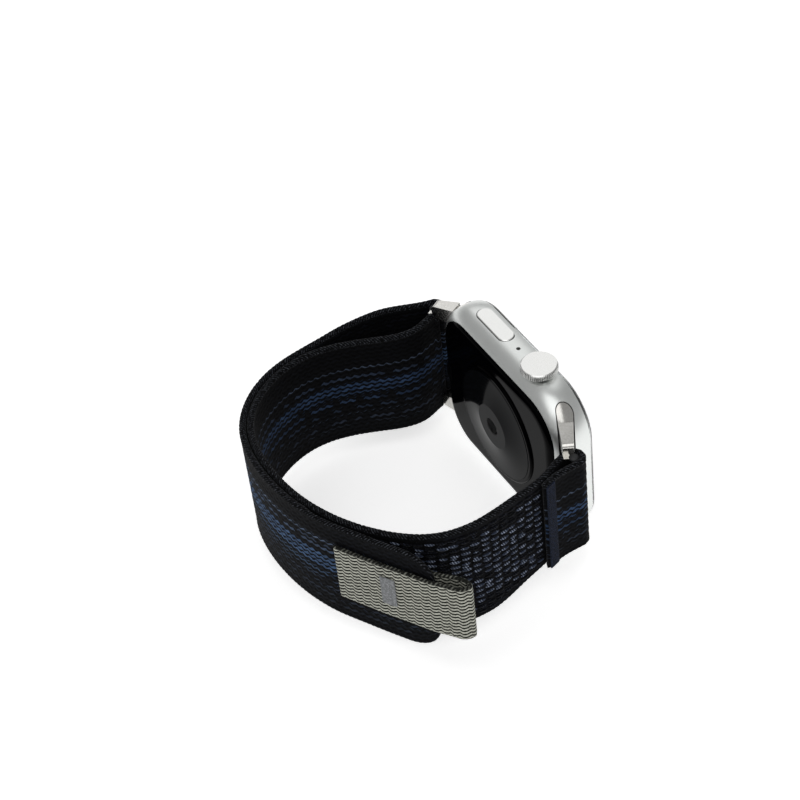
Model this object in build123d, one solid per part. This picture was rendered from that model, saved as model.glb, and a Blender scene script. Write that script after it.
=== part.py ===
from build123d import *
import os
from math import cos, radians, sin

# A square wrist computer on a woven hook-and-loop band. Millimetres.
# The origin is the middle of the sensor window, where the wrist or a charger touches.
# +X runs out through the display, +Y along the case to the far lug, +Z to the crown side.

# ---- Case ----
CASE_LENGTH = 45.0          # along Y
CASE_WIDTH = 38.0           # along Z
CASE_CORNER_R = 10.5
CASE_BACK_X = 2.15          # back rim of the aluminium
CASE_WIDEST_X = 6.0         # where the flank stands furthest out
CASE_FRONT_X = 9.6          # front rim of the aluminium
BACK_RIM_INSET = 2.2        # how far the flank curves in at the back rim
FRONT_RIM_INSET = 0.75      # and at the front rim
SIDE_WALL = 2.8             # wall under the crown and button
CAVITY_LENGTH = 32.0        # chamber between the two lug channels
CAVITY_CORNER_R = 3.0
DISPLAY_STEP_X = 8.3        # ledge that carries the display stack
DISPLAY_POCKET_WALL = 2.1   # wall beside the display stack

# ---- Front and back covers ----
GLASS_THICKNESS = 1.1
GLASS_EDGE_INSET = 1.6      # how far the glass rounds in from its own rim
SEAT_GAP = 0.02             # glue line between two seated pieces
PANEL_THICKNESS = 0.6
PANEL_MARGIN = 0.25
GASKET_HEIGHT = 0.5
GASKET_WIDTH = 1.1
COVER_FACE_X = 1.3          # flat outer face of the back cover
COVER_EDGE_INSET = 2.0
SPIGOT_HEIGHT = 0.9         # rim of the back cover inside the cavity
SPIGOT_WALL = 1.0
SPIGOT_GAP = 0.15

# ---- Sensor stack on the back ----
RING_R = 13.2
RING_HEIGHT = 0.45          # how far the ring stands off the back cover
WINDOW_R = 12.2
WINDOW_RIM_X = 0.75
WINDOW_FLAT_R = 5.0
WINDOW_BACK_X = 1.6
BOARD_INSET = 1.2           # sensor board inside the window's rim
SENSOR_BOARD_X = 2.55
SENSOR_BOARD_T = 0.5
DIODE_SIZE = 1.7
DIODE_HEIGHT = 0.6
DIODE_COUNT = 4
DIODE_CIRCLE_R = 3.1
EMITTER_SIZE = 0.9
EMITTER_GAP = 0.25
COIL_INSET = 0.4            # coil inside the sensor board's rim
COIL_WINDING = 2.8          # its width from outside to inside
COIL_HEIGHT = 0.7
MAGNET_GAP = 0.5            # between the coil and the magnet
MAGNET_WIDTH = 1.7

# ---- Crown ----
CONTROL_X = 6.7             # crown, button and microphone lie on this line
CROWN_Y = -8.8
CROWN_R = 3.78
CROWN_TOP = 1.88            # above the side wall
CROWN_CAP_HEIGHT = 1.55
CROWN_CHAMFER = 0.32
KNURL_COUNT = 60
KNURL_R = 0.14
HUB_R = 1.6
HUB_LENGTH = 2.3
RUNNING_GAP = 0.05
BUSHING_WALL = 0.5
BUSHING_LENGTH = 1.7
BUSHING_TOP_GAP = 0.35
SEAL_HEIGHT = 0.4
SEAL_DEPTH = 0.3
SHAFT_R = 1.0
SHAFT_LENGTH = 3.3
ENCODER_HEIGHT = 1.5
ENCODER_GAP = 1.2
STACK_GAP = 0.2              # between the inner parts and the display ledge
PLUNGER_HEIGHT = 0.5
PRESS_TRAVEL = 0.25
SWITCH_GAP = 0.1            # left under a plunger when it is fully pressed
SWITCH_HEIGHT = 0.7

# ---- Side button, microphone, speaker ----
BUTTON_Y = 7.3
BUTTON_LENGTH = 11.0
BUTTON_WIDTH = 3.4
BUTTON_PROUD = 0.15
BUTTON_DEPTH = 1.2
BUTTON_GAP = 0.12
BUTTON_POCKET_SPARE = 0.4   # pocket floor below the resting button
BUTTON_CHAMFER = 0.15
STEM_R = 0.6
STEM_SPREAD = 3.2
STEM_GAP = 0.1
DOME_R = 0.8
DOME_HEIGHT = 0.4
BRACKET_SIZE = (2.2, 9.4, 0.5)  # X, Y, Z
SWITCH_SIZE = (2.6, 3.0)        # X, Y, of the crown's switch
ENCODER_LENGTH = 5.0
MIC_Y = -1.2
MIC_HOLE_R = 0.45
SLOT_LENGTH = 7.0
SLOT_WIDTH = 1.0
SPEAKER_Y = (-6.5, 6.5)
MIC_SIZE = (2.2, 3.2, 1.0)  # X, Y, Z

# ---- Electronics ----
BOARD_X = 3.7
BOARD_T = 0.8
BOARD_MARGIN = 0.5
BATTERY_X = 5.0
BATTERY_T = 2.9
BATTERY_SIZE = (28.0, 16.0)     # Y, Z
BATTERY_Z = 1.0
HAPTIC_SIZE = (17.0, 5.2)
HAPTIC_T = 2.8
HAPTIC_Y = -5.0
SPEAKER_SIZE = (10.5, 5.2)
SPEAKER_SHIFT = 3.0         # speaker beyond the middle of its slot
PART_Z = -12.6              # row of the haptic motor and the speaker
CHIP_T = 0.45
CHIP_Z = 12.6
CHIP_HEIGHT = 4.4
CHIP_CANS = ((9.0, 9.0), (-1.5, 8.0))   # middle and length of each, along Y
CELL_ROUND = 0.6
SEAL_T = 0.4                # rubber ring behind the back cover's rim

# ---- Lug channels, lugs and latches ----
CHANNEL_X = 5.8             # centre of the channel's round head
CHANNEL_DEPTH = 3.6         # head centre below the case end
CHANNEL_HEAD_R = 1.8
CHANNEL_MOUTH = 1.5         # half width where it breaks out of the case end
CHANNEL_TILT = 28.6         # degrees towards the wrist
CHANNEL_REACH = 5.8         # cut from the head centre out past the case end
LUG_GAP = 0.16
LUG_END_GAP = 0.12
NECK_HALF = 1.1
NECK_REACH = 4.7            # tongue between the arms, from the head centre
BAR_R = 0.6
BAR_X = 3.0
BAR_REACH = 3.5             # bar centre beyond the case end
ARM_HALF = 1.0              # half width of an arm at its foot
ARM_FROM = 1.5              # arm's start and end from the head centre
ARM_REACH = 6.9
ARM_INNER_Z = 11.1          # face towards the webbing
ARM_ROOT_Z = 15.0           # outer edge at its start
ARM_END_Z = 14.0            # and at its end
ARM_END_R = 0.9
FOOT_REACH = 7.9            # foot that carries the bar
FOOT_Z = 11.6
BAR_OVERLAP = 0.1           # how far the bar reaches into the feet
LATCH_R = 0.8
LATCH_GAP = 0.08
LATCH_TRAVEL = 0.6
LATCH_PROUD = 0.55
LATCH_LENGTH = 1.9
LATCH_DEPTH = LATCH_LENGTH - LATCH_PROUD + LATCH_TRAVEL + 0.1
RELEASE_HEAD_T = 0.55       # oval part inside the back rim
POST_GAP = 0.04             # between a release button's post and its latch pin
POST_INSET = 0.15           # how much thinner the post is than the pin
RELEASE_LENGTH = 5.0        # along Z
RELEASE_WIDTH = 1.9         # along Y
RELEASE_GAP = 0.12
RELEASE_PROUD = 0.1

# ---- Band ----
BAND_WIDTH = 26.7
BAND_MIDDLE_Z = -1.0        # the band hangs a little low on the case
BAND_T = 1.3
END_TRIM_TOP = 0.35         # how much narrower the webbing is at the near lug
END_TRIM_LOW = 2.35
END_TRIM_X = (-20.0, -5.0)  # where it starts and ends narrowing
LAYER_GAP = 0.3
BAR_GAP = 0.45              # between the lug bar and the webbing round it
ARM_GAP = 0.25              # between the webbing and the lug arms
LOOP_DEPTH = 49.8           # from the lug bars to the far left of the loop
TURNBACK_LENGTH = 10.0
HOOK_T = 0.45
HOOK_MARGIN = 1.0
GLUE_GAP = 0.04
TACK_T = 0.3
TACK_WIDTH = 2.6
TAB_WIDTH = 14.6
TAB_T = 0.9
TAB_TACK_SIZE = (3.2, 7.6)
TAB_TACK_FROM = 10.2        # along the tab
TAB_TACK_LOW_Z = -3.3
BAR_TACK_MARGIN = 0.4       # between the navy bar of stitches and the webbing's edge
HOOK_RUN = (0.08, 0.72)     # shares of the tail's length that the hook tape covers
TIP_R = 7.0

# The loop of the inner layer, in shares of LOOP_DEPTH (from the bars towards the wrist's
# far side) and of the bars' distance from the middle, from the near lug to the far one.
LOOP_SHAPE = [
    (0.138, -1.025), (0.295, -1.095), (0.466, -1.146), (0.634, -1.098), (0.813, -0.823),
    (0.950, -0.358), (1.000, 0.208), (0.942, 0.712), (0.775, 1.008), (0.586, 1.104),
    (0.335, 0.977), (0.125, 0.868),
]
# The outer layer's free arch between the far lug and where the two layers meet.
ARCH_SHAPE = [(0.110, 1.145), (0.200, 1.204), (0.290, 1.221), (0.385, 1.218), (0.480, 1.196)]
MEET_AT = 0.735             # share of the inner layer's length where the layers meet
TAIL_AT = 0.430             # where the part that peels off begins
TAIL_LEAVES_AT = 0.355      # where the tail's tip starts to stand off
TAIL_SHAPE = [(0.825, -0.950), (0.719, -1.285)]
TAB_FROM = 0.25             # share of the tail's length where the tab starts
TAB_SHAPE = [
    (0.700, -1.405), (0.655, -1.488), (0.630, -1.484), (0.630, -1.432), (0.660, -1.345),
]

END_Y = CASE_LENGTH / 2
SIDE_Z = CASE_WIDTH / 2
BAR_Y = END_Y + BAR_REACH
FOLD_R = BAR_R + BAR_GAP + BAND_T / 2
PITCH = BAND_T + LAYER_GAP
SENSOR_BOARD_R = WINDOW_R - BOARD_INSET
COIL_OUTER_R = SENSOR_BOARD_R - COIL_INSET
COIL_INNER_R = COIL_OUTER_R - COIL_WINDING
MAGNET_OUTER_R = COIL_INNER_R - MAGNET_GAP
MAGNET_INNER_R = MAGNET_OUTER_R - MAGNET_WIDTH
BAND_TOP_Z = BAND_MIDDLE_Z + BAND_WIDTH / 2
BAND_LOW_Z = BAND_MIDDLE_Z - BAND_WIDTH / 2
CAVITY_HALF_Y = CAVITY_LENGTH / 2
CAVITY_HALF_Z = SIDE_Z - SIDE_WALL
BOTTOM = (Align.CENTER, Align.CENTER, Align.MIN)
TOP = (Align.CENTER, Align.CENTER, Align.MAX)


# ---------------------------------------------------------------- shared shapes
def plate(x0, x1, half_y, half_z, corner_r):
    """Rounded rectangle across X, from x0 to x1."""
    outline = Plane.YZ.offset(x0) * RectangleRounded(2 * half_y, 2 * half_z, corner_r)
    return extrude(outline, x1 - x0)


def disc(x0, x1, r, y=0.0, z=0.0):
    """Round disc across X."""
    return extrude(Plane.YZ.offset(x0) * Pos(y, z) * Circle(r), x1 - x0)


def block(x0, x1, y, z, size_y, size_z):
    """Box across X, centred on (y, z)."""
    return Pos((x0 + x1) / 2, y, z) * Box(x1 - x0, size_y, size_z)


def pill(z0, z1, y, length, width):
    """Slot-shaped prism along Z on the line of the controls, its long way along Y."""
    outline = Plane.XY.offset(z0) * Pos(CONTROL_X, y) * Rot(0, 0, 90) * SlotOverall(length, width)
    return extrude(outline, z1 - z0)


def upright(r, z0, z1, x=CONTROL_X, y=CROWN_Y):
    """Round post along Z."""
    return Pos(x, y, z0) * Cylinder(r, z1 - z0, align=BOTTOM)


def curved_flank(half, back_x, back_inset, front_x, front_inset):
    """Edge of a side wall in section: an arc back and an arc front of its widest line."""
    widest = (CASE_WIDEST_X, half)
    back = TangentArc(widest, (back_x, half - back_inset), tangent=(-1, 0))
    front = TangentArc(widest, (front_x, half - front_inset), tangent=(1, 0))
    return [back, front]


def rounded_flank(half, rim_x, rim_inset, face_x, face_inset):
    """Edge of a cover in section: one arc from its flat face over to its rim."""
    rim = (rim_x, half - rim_inset)
    face = (face_x, half - rim_inset - face_inset)
    return [TangentArc(face, rim, tangent=(0, 1))]


def ring_section(half, flank, x_low, x_high):
    """Half section from the centre line out to a flank."""
    edges = flank(half)
    points = [edge @ 0 for edge in edges] + [edge @ 1 for edge in edges]
    low = min(points, key=lambda point: point.X)
    high = max(points, key=lambda point: point.X)
    closing = Polyline((low.X, low.Y), (x_low, 0), (x_high, 0), (high.X, high.Y))
    return make_face(edges + closing.edges())


def rounded_body(half_y, half_z, corner_r, flank, x_low, x_high):
    """Solid with the same flank all the way round a rounded rectangle."""
    section_y = ring_section(half_y, flank, x_low, x_high)
    section_z = Plane.XZ * ring_section(half_z, flank, x_low, x_high)
    reach_z = half_z - corner_r
    reach_y = half_y - corner_r
    long_way = extrude(section_y, reach_z, both=True)
    short_way = extrude(section_z, reach_y, both=True)
    body = long_way + mirror(long_way, Plane.XZ) + short_way + mirror(short_way, Plane.XY)
    round_corner = revolve(ring_section(corner_r, flank, x_low, x_high), Axis.X)
    for side_y in (-1, 1):
        for side_z in (-1, 1):
            body += Pos(0, side_y * reach_y, side_z * reach_z) * round_corner
    return body


# ---------------------------------------------------------------- lug geometry
def channel_axis(side):
    """Head centre and direction of a lug channel; side is -1 near and +1 far."""
    tilt = radians(CHANNEL_TILT)
    head = Vector(CHANNEL_X, side * (END_Y - CHANNEL_DEPTH))
    return head, Vector(-sin(tilt), side * cos(tilt))


def tongue(side, head_r, mouth_half, reach):
    """Flat outline of a channel or of the lug in it: a round head and a tapering neck."""
    head, along = channel_axis(side)
    across = Vector(-along.Y, along.X)
    mouth = head + along * reach
    corners = [
        head + across * head_r, mouth + across * mouth_half,
        mouth - across * mouth_half, head - across * head_r,
    ]
    neck = make_face(Polyline(*corners, close=True).edges())
    return neck + Pos(head.X, head.Y) * Circle(head_r)


def channel_cut(side):
    outline = tongue(side, CHANNEL_HEAD_R, CHANNEL_MOUTH, CHANNEL_REACH)
    return extrude(outline, CASE_WIDTH, both=True)


def case_flank(half):
    return curved_flank(half, CASE_BACK_X, BACK_RIM_INSET, CASE_FRONT_X, FRONT_RIM_INSET)


def latch_y(side):
    return side * (END_Y - CHANNEL_DEPTH)


def release_pill(x0, x1, side, gap):
    """Oval release button, or its hole, across X."""
    outline = SlotOverall(RELEASE_LENGTH + 2 * gap, RELEASE_WIDTH + 2 * gap)
    placed = Plane.YZ.offset(x0) * Pos(latch_y(side), 0) * Rot(0, 0, 90) * outline
    return extrude(placed, x1 - x0)


# ---------------------------------------------------------------- case and covers
BUTTON_POCKET_Z = SIDE_Z + BUTTON_PROUD - BUTTON_DEPTH - BUTTON_POCKET_SPARE
BUSHING_TOP_Z = SIDE_Z - BUSHING_TOP_GAP
CHANNEL_FLOOR_X = CHANNEL_X - CHANNEL_HEAD_R
RELEASE_HEAD_X = CASE_BACK_X + RELEASE_HEAD_T


def case_body():
    body = rounded_body(END_Y, SIDE_Z, CASE_CORNER_R, case_flank, CASE_BACK_X, CASE_FRONT_X)
    body -= plate(CASE_BACK_X - 1, CASE_FRONT_X + 1, CAVITY_HALF_Y, CAVITY_HALF_Z, CAVITY_CORNER_R)
    pocket_y = END_Y - DISPLAY_POCKET_WALL
    pocket_z = SIDE_Z - DISPLAY_POCKET_WALL
    pocket_r = CASE_CORNER_R - DISPLAY_POCKET_WALL
    body -= plate(DISPLAY_STEP_X, CASE_FRONT_X + 1, pocket_y, pocket_z, pocket_r)
    body -= upright(HUB_R + RUNNING_GAP + BUSHING_WALL, CAVITY_HALF_Z - 1, SIDE_Z + 1)
    gap = 2 * BUTTON_GAP
    body -= pill(BUTTON_POCKET_Z, SIDE_Z + 1, BUTTON_Y, BUTTON_LENGTH + gap, BUTTON_WIDTH + gap)
    for side in (-1, 1):
        stem_y = BUTTON_Y + side * STEM_SPREAD
        body -= upright(STEM_R + STEM_GAP, CAVITY_HALF_Z - 1, SIDE_Z, y=stem_y)
    body -= upright(MIC_HOLE_R, CAVITY_HALF_Z - 1, SIDE_Z + 1, y=MIC_Y)
    for slot_y in SPEAKER_Y:
        body -= pill(-SIDE_Z - 1, -CAVITY_HALF_Z + 1, slot_y, SLOT_LENGTH, SLOT_WIDTH)
    for side in (-1, 1):
        body -= channel_cut(side)
        body -= release_pill(CASE_BACK_X - 2, RELEASE_HEAD_X + LATCH_TRAVEL + 0.1, side, RELEASE_GAP)
        body -= disc(CASE_BACK_X, CHANNEL_X, LATCH_R + LATCH_GAP, y=latch_y(side))
    return body


def glass_flank(half):
    return rounded_flank(half, CASE_FRONT_X + SEAT_GAP, FRONT_RIM_INSET + 0.05,
                         CASE_FRONT_X + GLASS_THICKNESS, GLASS_EDGE_INSET)


def front_glass():
    return rounded_body(END_Y, SIDE_Z, CASE_CORNER_R, glass_flank,
                        CASE_FRONT_X + SEAT_GAP, CASE_FRONT_X + GLASS_THICKNESS)


def display_panel():
    top = CASE_FRONT_X - SEAT_GAP
    inset = DISPLAY_POCKET_WALL + PANEL_MARGIN
    return plate(top - PANEL_THICKNESS, top, END_Y - inset, SIDE_Z - inset, CASE_CORNER_R - inset)


def display_gasket():
    outer = DISPLAY_POCKET_WALL + PANEL_MARGIN
    inner = outer + GASKET_WIDTH
    x0 = DISPLAY_STEP_X + SEAT_GAP
    ring = plate(x0, x0 + GASKET_HEIGHT, END_Y - outer, SIDE_Z - outer, CASE_CORNER_R - outer)
    hole_r = max(CASE_CORNER_R - inner, 1.0)
    return ring - plate(x0 - 1, x0 + 2, END_Y - inner, SIDE_Z - inner, hole_r)


def cover_flank(half):
    return rounded_flank(half, CASE_BACK_X - SEAT_GAP, BACK_RIM_INSET + 0.05,
                         COVER_FACE_X, COVER_EDGE_INSET)


def back_cover():
    cover = rounded_body(END_Y, SIDE_Z, CASE_CORNER_R, cover_flank,
                         COVER_FACE_X, CASE_BACK_X - SEAT_GAP)
    half_y = CAVITY_HALF_Y - SPIGOT_GAP
    half_z = CAVITY_HALF_Z - SPIGOT_GAP
    rim_x = CASE_BACK_X + SPIGOT_HEIGHT
    rim_r = CAVITY_CORNER_R - SPIGOT_GAP
    rim = plate(CASE_BACK_X - 0.5, rim_x, half_y, half_z, rim_r)
    rim -= plate(CASE_BACK_X - 1, rim_x + 1, half_y - SPIGOT_WALL, half_z - SPIGOT_WALL,
                 rim_r - SPIGOT_WALL)
    cover += rim
    cover -= disc(COVER_FACE_X - 1, rim_x + 1, WINDOW_R + RUNNING_GAP)
    for side in (-1, 1):
        cover -= release_pill(COVER_FACE_X - 1, CASE_BACK_X + 0.5, side, RELEASE_GAP)
    return cover


def back_seal():
    """Rubber ring in the corner between the cover's rim and the sensor board."""
    x0 = CASE_BACK_X + SPIGOT_HEIGHT + SEAT_GAP
    half_y = CAVITY_HALF_Y - SPIGOT_GAP
    half_z = CAVITY_HALF_Z - SPIGOT_GAP
    corner_r = CAVITY_CORNER_R - SPIGOT_GAP
    ring = plate(x0, x0 + SEAL_T, half_y, half_z, corner_r)
    return ring - plate(x0 - 1, x0 + 1, half_y - SPIGOT_WALL, half_z - SPIGOT_WALL,
                        corner_r - SPIGOT_WALL)


# ---------------------------------------------------------------- sensor stack
def sensor_ring():
    """Raised ring with a rounded crest round the window."""
    low = WINDOW_R + RUNNING_GAP
    base_x = COVER_FACE_X - SEAT_GAP
    crest_x = base_x - RING_HEIGHT
    bend = RING_HEIGHT * (1 - cos(radians(45)))
    halfway = (base_x - RING_HEIGHT + bend, RING_R - bend)
    shoulder = ThreePointArc((base_x, RING_R), halfway, (crest_x, RING_R - RING_HEIGHT))
    rest = Polyline((crest_x, RING_R - RING_HEIGHT), (crest_x, low), (base_x, low), (base_x, RING_R))
    return revolve(make_face([shoulder, rest]), Axis.X)


def sensor_window():
    """Domed window with a small flat in the middle."""
    dome = RadiusArc((0, WINDOW_FLAT_R), (WINDOW_RIM_X, WINDOW_R), -60)
    rest = Polyline((WINDOW_RIM_X, WINDOW_R), (WINDOW_BACK_X, WINDOW_R), (WINDOW_BACK_X, 0),
                    (0, 0), (0, WINDOW_FLAT_R))
    return revolve(make_face([dome, rest]), Axis.X)


def sensor_board():
    return disc(SENSOR_BOARD_X, SENSOR_BOARD_X + SENSOR_BOARD_T, SENSOR_BOARD_R)


def photodiodes():
    """Light detectors on a circle round the emitters."""
    cells = []
    for spot in PolarLocations(DIODE_CIRCLE_R, DIODE_COUNT):
        x0 = SENSOR_BOARD_X - SEAT_GAP - DIODE_HEIGHT
        centre = spot.position
        cells.append(block(x0, x0 + DIODE_HEIGHT, centre.X, centre.Y, DIODE_SIZE, DIODE_SIZE))
    return Compound(children=cells)


def light_emitters():
    """Cluster of small light sources in the middle of the window."""
    x1 = SENSOR_BOARD_X - SEAT_GAP
    pitch = EMITTER_SIZE + EMITTER_GAP
    spots = [(-pitch / 2, 0), (pitch / 2, 0), (0, pitch), (0, -pitch)]
    return Compound(children=[
        block(x1 - DIODE_HEIGHT, x1, y, z, EMITTER_SIZE, EMITTER_SIZE) for y, z in spots
    ])


def charging_coil():
    x1 = SENSOR_BOARD_X - SEAT_GAP
    x0 = x1 - COIL_HEIGHT
    return disc(x0, x1, COIL_OUTER_R) - disc(x0 - 1, x1 + 1, COIL_INNER_R)


def alignment_magnet():
    x1 = SENSOR_BOARD_X - SEAT_GAP
    x0 = x1 - COIL_HEIGHT
    return disc(x0, x1, MAGNET_OUTER_R) - disc(x0 - 1, x1 + 1, MAGNET_INNER_R)


# ---------------------------------------------------------------- electronics
def main_board():
    half_y = CAVITY_HALF_Y - BOARD_MARGIN
    half_z = CAVITY_HALF_Z - BOARD_MARGIN
    return plate(BOARD_X, BOARD_X + BOARD_T, half_y, half_z, CAVITY_CORNER_R - BOARD_MARGIN)


def chip_cans():
    """Shield cans on the far side of the board from the sensors."""
    x0 = BOARD_X + BOARD_T + SEAT_GAP
    return Compound(children=[
        block(x0, x0 + CHIP_T, middle, CHIP_Z, length, CHIP_HEIGHT) for middle, length in CHIP_CANS
    ])


def battery():
    size_y, size_z = BATTERY_SIZE
    cell = Pos(BATTERY_X + BATTERY_T / 2, 0, BATTERY_Z) * Box(BATTERY_T, size_y, size_z)
    return fillet(cell.edges().filter_by(Axis.Y), CELL_ROUND)


def haptic_motor():
    size_y, size_z = HAPTIC_SIZE
    case = Pos(BATTERY_X + HAPTIC_T / 2, HAPTIC_Y, PART_Z) * Box(HAPTIC_T, size_y, size_z)
    return fillet(case.edges().filter_by(Axis.Y), CELL_ROUND)


def speaker():
    size_y, size_z = SPEAKER_SIZE
    y = SPEAKER_Y[1] + SPEAKER_SHIFT
    box = block(BATTERY_X, BATTERY_X + HAPTIC_T, y, PART_Z, size_y, size_z)
    return box - pill(-CAVITY_HALF_Z - 1, PART_Z - 1.2, y, SLOT_LENGTH, SLOT_WIDTH + 0.3)


def microphone():
    top = CAVITY_HALF_Z - SEAT_GAP
    can = Pos(CONTROL_X, MIC_Y, top) * Box(*MIC_SIZE, align=TOP)
    return can - upright(MIC_HOLE_R * 0.7, top - 0.4, top + 1, y=MIC_Y)


# ---------------------------------------------------------------- crown
CROWN_CAP_Z = SIDE_Z + CROWN_TOP - CROWN_CAP_HEIGHT
HUB_END_Z = CROWN_CAP_Z - HUB_LENGTH
ENCODER_TOP_Z = HUB_END_Z - ENCODER_GAP
SHAFT_END_Z = HUB_END_Z - SHAFT_LENGTH
PLUNGER_END_Z = SHAFT_END_Z - SEAT_GAP - PLUNGER_HEIGHT
SEAL_Z = (BUSHING_TOP_Z - 0.7, BUSHING_TOP_Z - 1.4)


def crown_cap():
    """Knurled wheel with a chamfered rim."""
    wheel = upright(CROWN_R, CROWN_CAP_Z, SIDE_Z + CROWN_TOP)
    wheel = chamfer(wheel.edges().filter_by(GeomType.CIRCLE), CROWN_CHAMFER)
    groove = upright(KNURL_R, CROWN_CAP_Z - 1, SIDE_Z + CROWN_TOP + 1, x=CONTROL_X + CROWN_R)
    centre = Axis((CONTROL_X, CROWN_Y, 0), (0, 0, 1))
    turns = [360 * index / KNURL_COUNT for index in range(KNURL_COUNT)]
    return wheel - [groove.rotate(centre, angle) for angle in turns]


def crown_shaft():
    shaft = upright(HUB_R, HUB_END_Z, CROWN_CAP_Z - SEAT_GAP)
    shaft += upright(SHAFT_R, SHAFT_END_Z, HUB_END_Z)
    for seal_z in SEAL_Z:
        band = upright(HUB_R + 1, seal_z, seal_z + SEAL_HEIGHT)
        shaft -= band - upright(HUB_R - SEAL_DEPTH, seal_z - 1, seal_z + 2)
    return shaft


def crown_seals():
    """Two rubber rings that fill the shaft's grooves."""
    rings = []
    for seal_z in SEAL_Z:
        z0 = seal_z + SEAT_GAP
        z1 = seal_z + SEAL_HEIGHT - SEAT_GAP
        ring = upright(HUB_R, z0, z1) - upright(HUB_R - SEAL_DEPTH + SEAT_GAP, z0 - 1, z1 + 1)
        rings.append(ring)
    return Compound(children=rings)


def crown_bushing():
    sleeve_r = HUB_R + RUNNING_GAP
    z0 = BUSHING_TOP_Z - BUSHING_LENGTH
    return upright(sleeve_r + BUSHING_WALL, z0, BUSHING_TOP_Z) - upright(sleeve_r, z0 - 1, SIDE_Z)


def crown_encoder():
    """Reader block round the thin end of the shaft."""
    top = ENCODER_TOP_Z
    size_x = 2 * (DISPLAY_STEP_X - STACK_GAP - CONTROL_X)
    body = Pos(CONTROL_X, CROWN_Y, top) * Box(size_x, ENCODER_LENGTH, ENCODER_HEIGHT, align=TOP)
    return body - upright(SHAFT_R + RUNNING_GAP, top - ENCODER_HEIGHT - 1, top + 1)


def crown_plunger():
    """Small cap under the shaft that carries the press and doesn't turn."""
    return upright(SHAFT_R - 0.1, PLUNGER_END_Z, PLUNGER_END_Z + PLUNGER_HEIGHT)


def crown_switch():
    top = PLUNGER_END_Z - PRESS_TRAVEL - SWITCH_GAP
    return Pos(CONTROL_X, CROWN_Y, top) * Box(*SWITCH_SIZE, SWITCH_HEIGHT, align=TOP)


# ---------------------------------------------------------------- side button
BUTTON_BACK_Z = SIDE_Z + BUTTON_PROUD - BUTTON_DEPTH
STEM_END_Z = CAVITY_HALF_Z - 0.3


def side_button():
    cap = pill(BUTTON_BACK_Z, SIDE_Z + BUTTON_PROUD, BUTTON_Y, BUTTON_LENGTH, BUTTON_WIDTH)
    cap = chamfer(cap.faces().sort_by(Axis.Z)[-1].edges(), BUTTON_CHAMFER)
    for side in (-1, 1):
        cap += upright(STEM_R, STEM_END_Z, BUTTON_BACK_Z, y=BUTTON_Y + side * STEM_SPREAD)
    return cap


def side_button_switch():
    """Bracket with two contact domes under the button's stems."""
    top = STEM_END_Z - PRESS_TRAVEL - SWITCH_GAP
    bracket_top = top - DOME_HEIGHT + 0.1
    bracket = Pos(CONTROL_X, BUTTON_Y, bracket_top) * Box(*BRACKET_SIZE, align=TOP)
    for side in (-1, 1):
        y = BUTTON_Y + side * STEM_SPREAD
        bracket += upright(DOME_R, top - DOME_HEIGHT, top, y=y)
    return bracket


# ---------------------------------------------------------------- lugs
def arm_outline(side):
    """Side view of a lug's arm: a straight arm with a rounded end and a foot for the bar."""
    head, along = channel_axis(side)
    facing = Plane(origin=(head.X, head.Y, 0), x_dir=(along.X, along.Y, 0), z_dir=(along.Y, -along.X, 0))
    outline = make_face(Polyline(
        (ARM_FROM, ARM_INNER_Z), (ARM_FROM, ARM_ROOT_Z), (ARM_REACH, ARM_END_Z),
        (ARM_REACH, FOOT_Z), (FOOT_REACH, FOOT_Z), (FOOT_REACH, ARM_INNER_Z), close=True,
    ).edges())
    corner = outline.vertices().sort_by_distance((ARM_REACH, ARM_END_Z, 0))[0]
    return facing * fillet(corner, ARM_END_R)


def lug(side):
    """Metal tongue in the case channel with two arms and a bar for the webbing."""
    head_r = CHANNEL_HEAD_R - LUG_GAP
    tongue_body = extrude(tongue(side, head_r, NECK_HALF, NECK_REACH), SIDE_Z, both=True)
    trim = LUG_END_GAP
    limits = rounded_body(END_Y - trim, SIDE_Z - trim, CASE_CORNER_R - trim, case_flank,
                          CASE_BACK_X, CASE_FRONT_X)
    body = tongue_body & limits
    tapering = extrude(tongue(side, head_r, ARM_HALF, FOOT_REACH), SIDE_Z, both=True)
    arm = extrude(arm_outline(side), 2 * head_r, both=True) & tapering
    body += arm + mirror(arm, Plane.XY)
    body += Pos(BAR_X, side * BAR_Y, 0) * Cylinder(BAR_R, 2 * (ARM_INNER_Z + BAR_OVERLAP))
    latch_end = CHANNEL_FLOOR_X + LATCH_DEPTH
    return body - disc(CHANNEL_FLOOR_X - 1, latch_end, LATCH_R + LATCH_GAP, y=latch_y(side))


def latch(side):
    """Pin that stands out of the lug's head into the case."""
    x0 = CHANNEL_FLOOR_X - LATCH_PROUD
    return disc(x0, x0 + LATCH_LENGTH, LATCH_R, y=latch_y(side))


def release_button(side):
    """Oval button in the back with a post that meets the latch pin."""
    face_x = COVER_FACE_X + RELEASE_PROUD
    cap = release_pill(face_x, RELEASE_HEAD_X, side, 0)
    post_end = CHANNEL_FLOOR_X - LATCH_PROUD - POST_GAP
    return cap + disc(RELEASE_HEAD_X, post_end, LATCH_R - POST_INSET, y=latch_y(side))


# ---------------------------------------------------------------- band
def outward(path, share):
    """Unit vector out of the loop at a share of a path's length."""
    tangent = path % share
    return Vector(-tangent.Y, tangent.X)


def place(shape):
    """Loop points from shares of the loop's depth and the bars' distance."""
    return [Vector(BAR_X - depth * LOOP_DEPTH, across * BAR_Y) for depth, across in shape]


def beside(path, shares, offset):
    """Points beside a path, an offset outwards from it."""
    return [path @ share + outward(path, share) * offset for share in shares]


def spread(start, end, count):
    """Evenly spaced shares, both ends included."""
    return [start + (end - start) * index / (count - 1) for index in range(count)]


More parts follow.
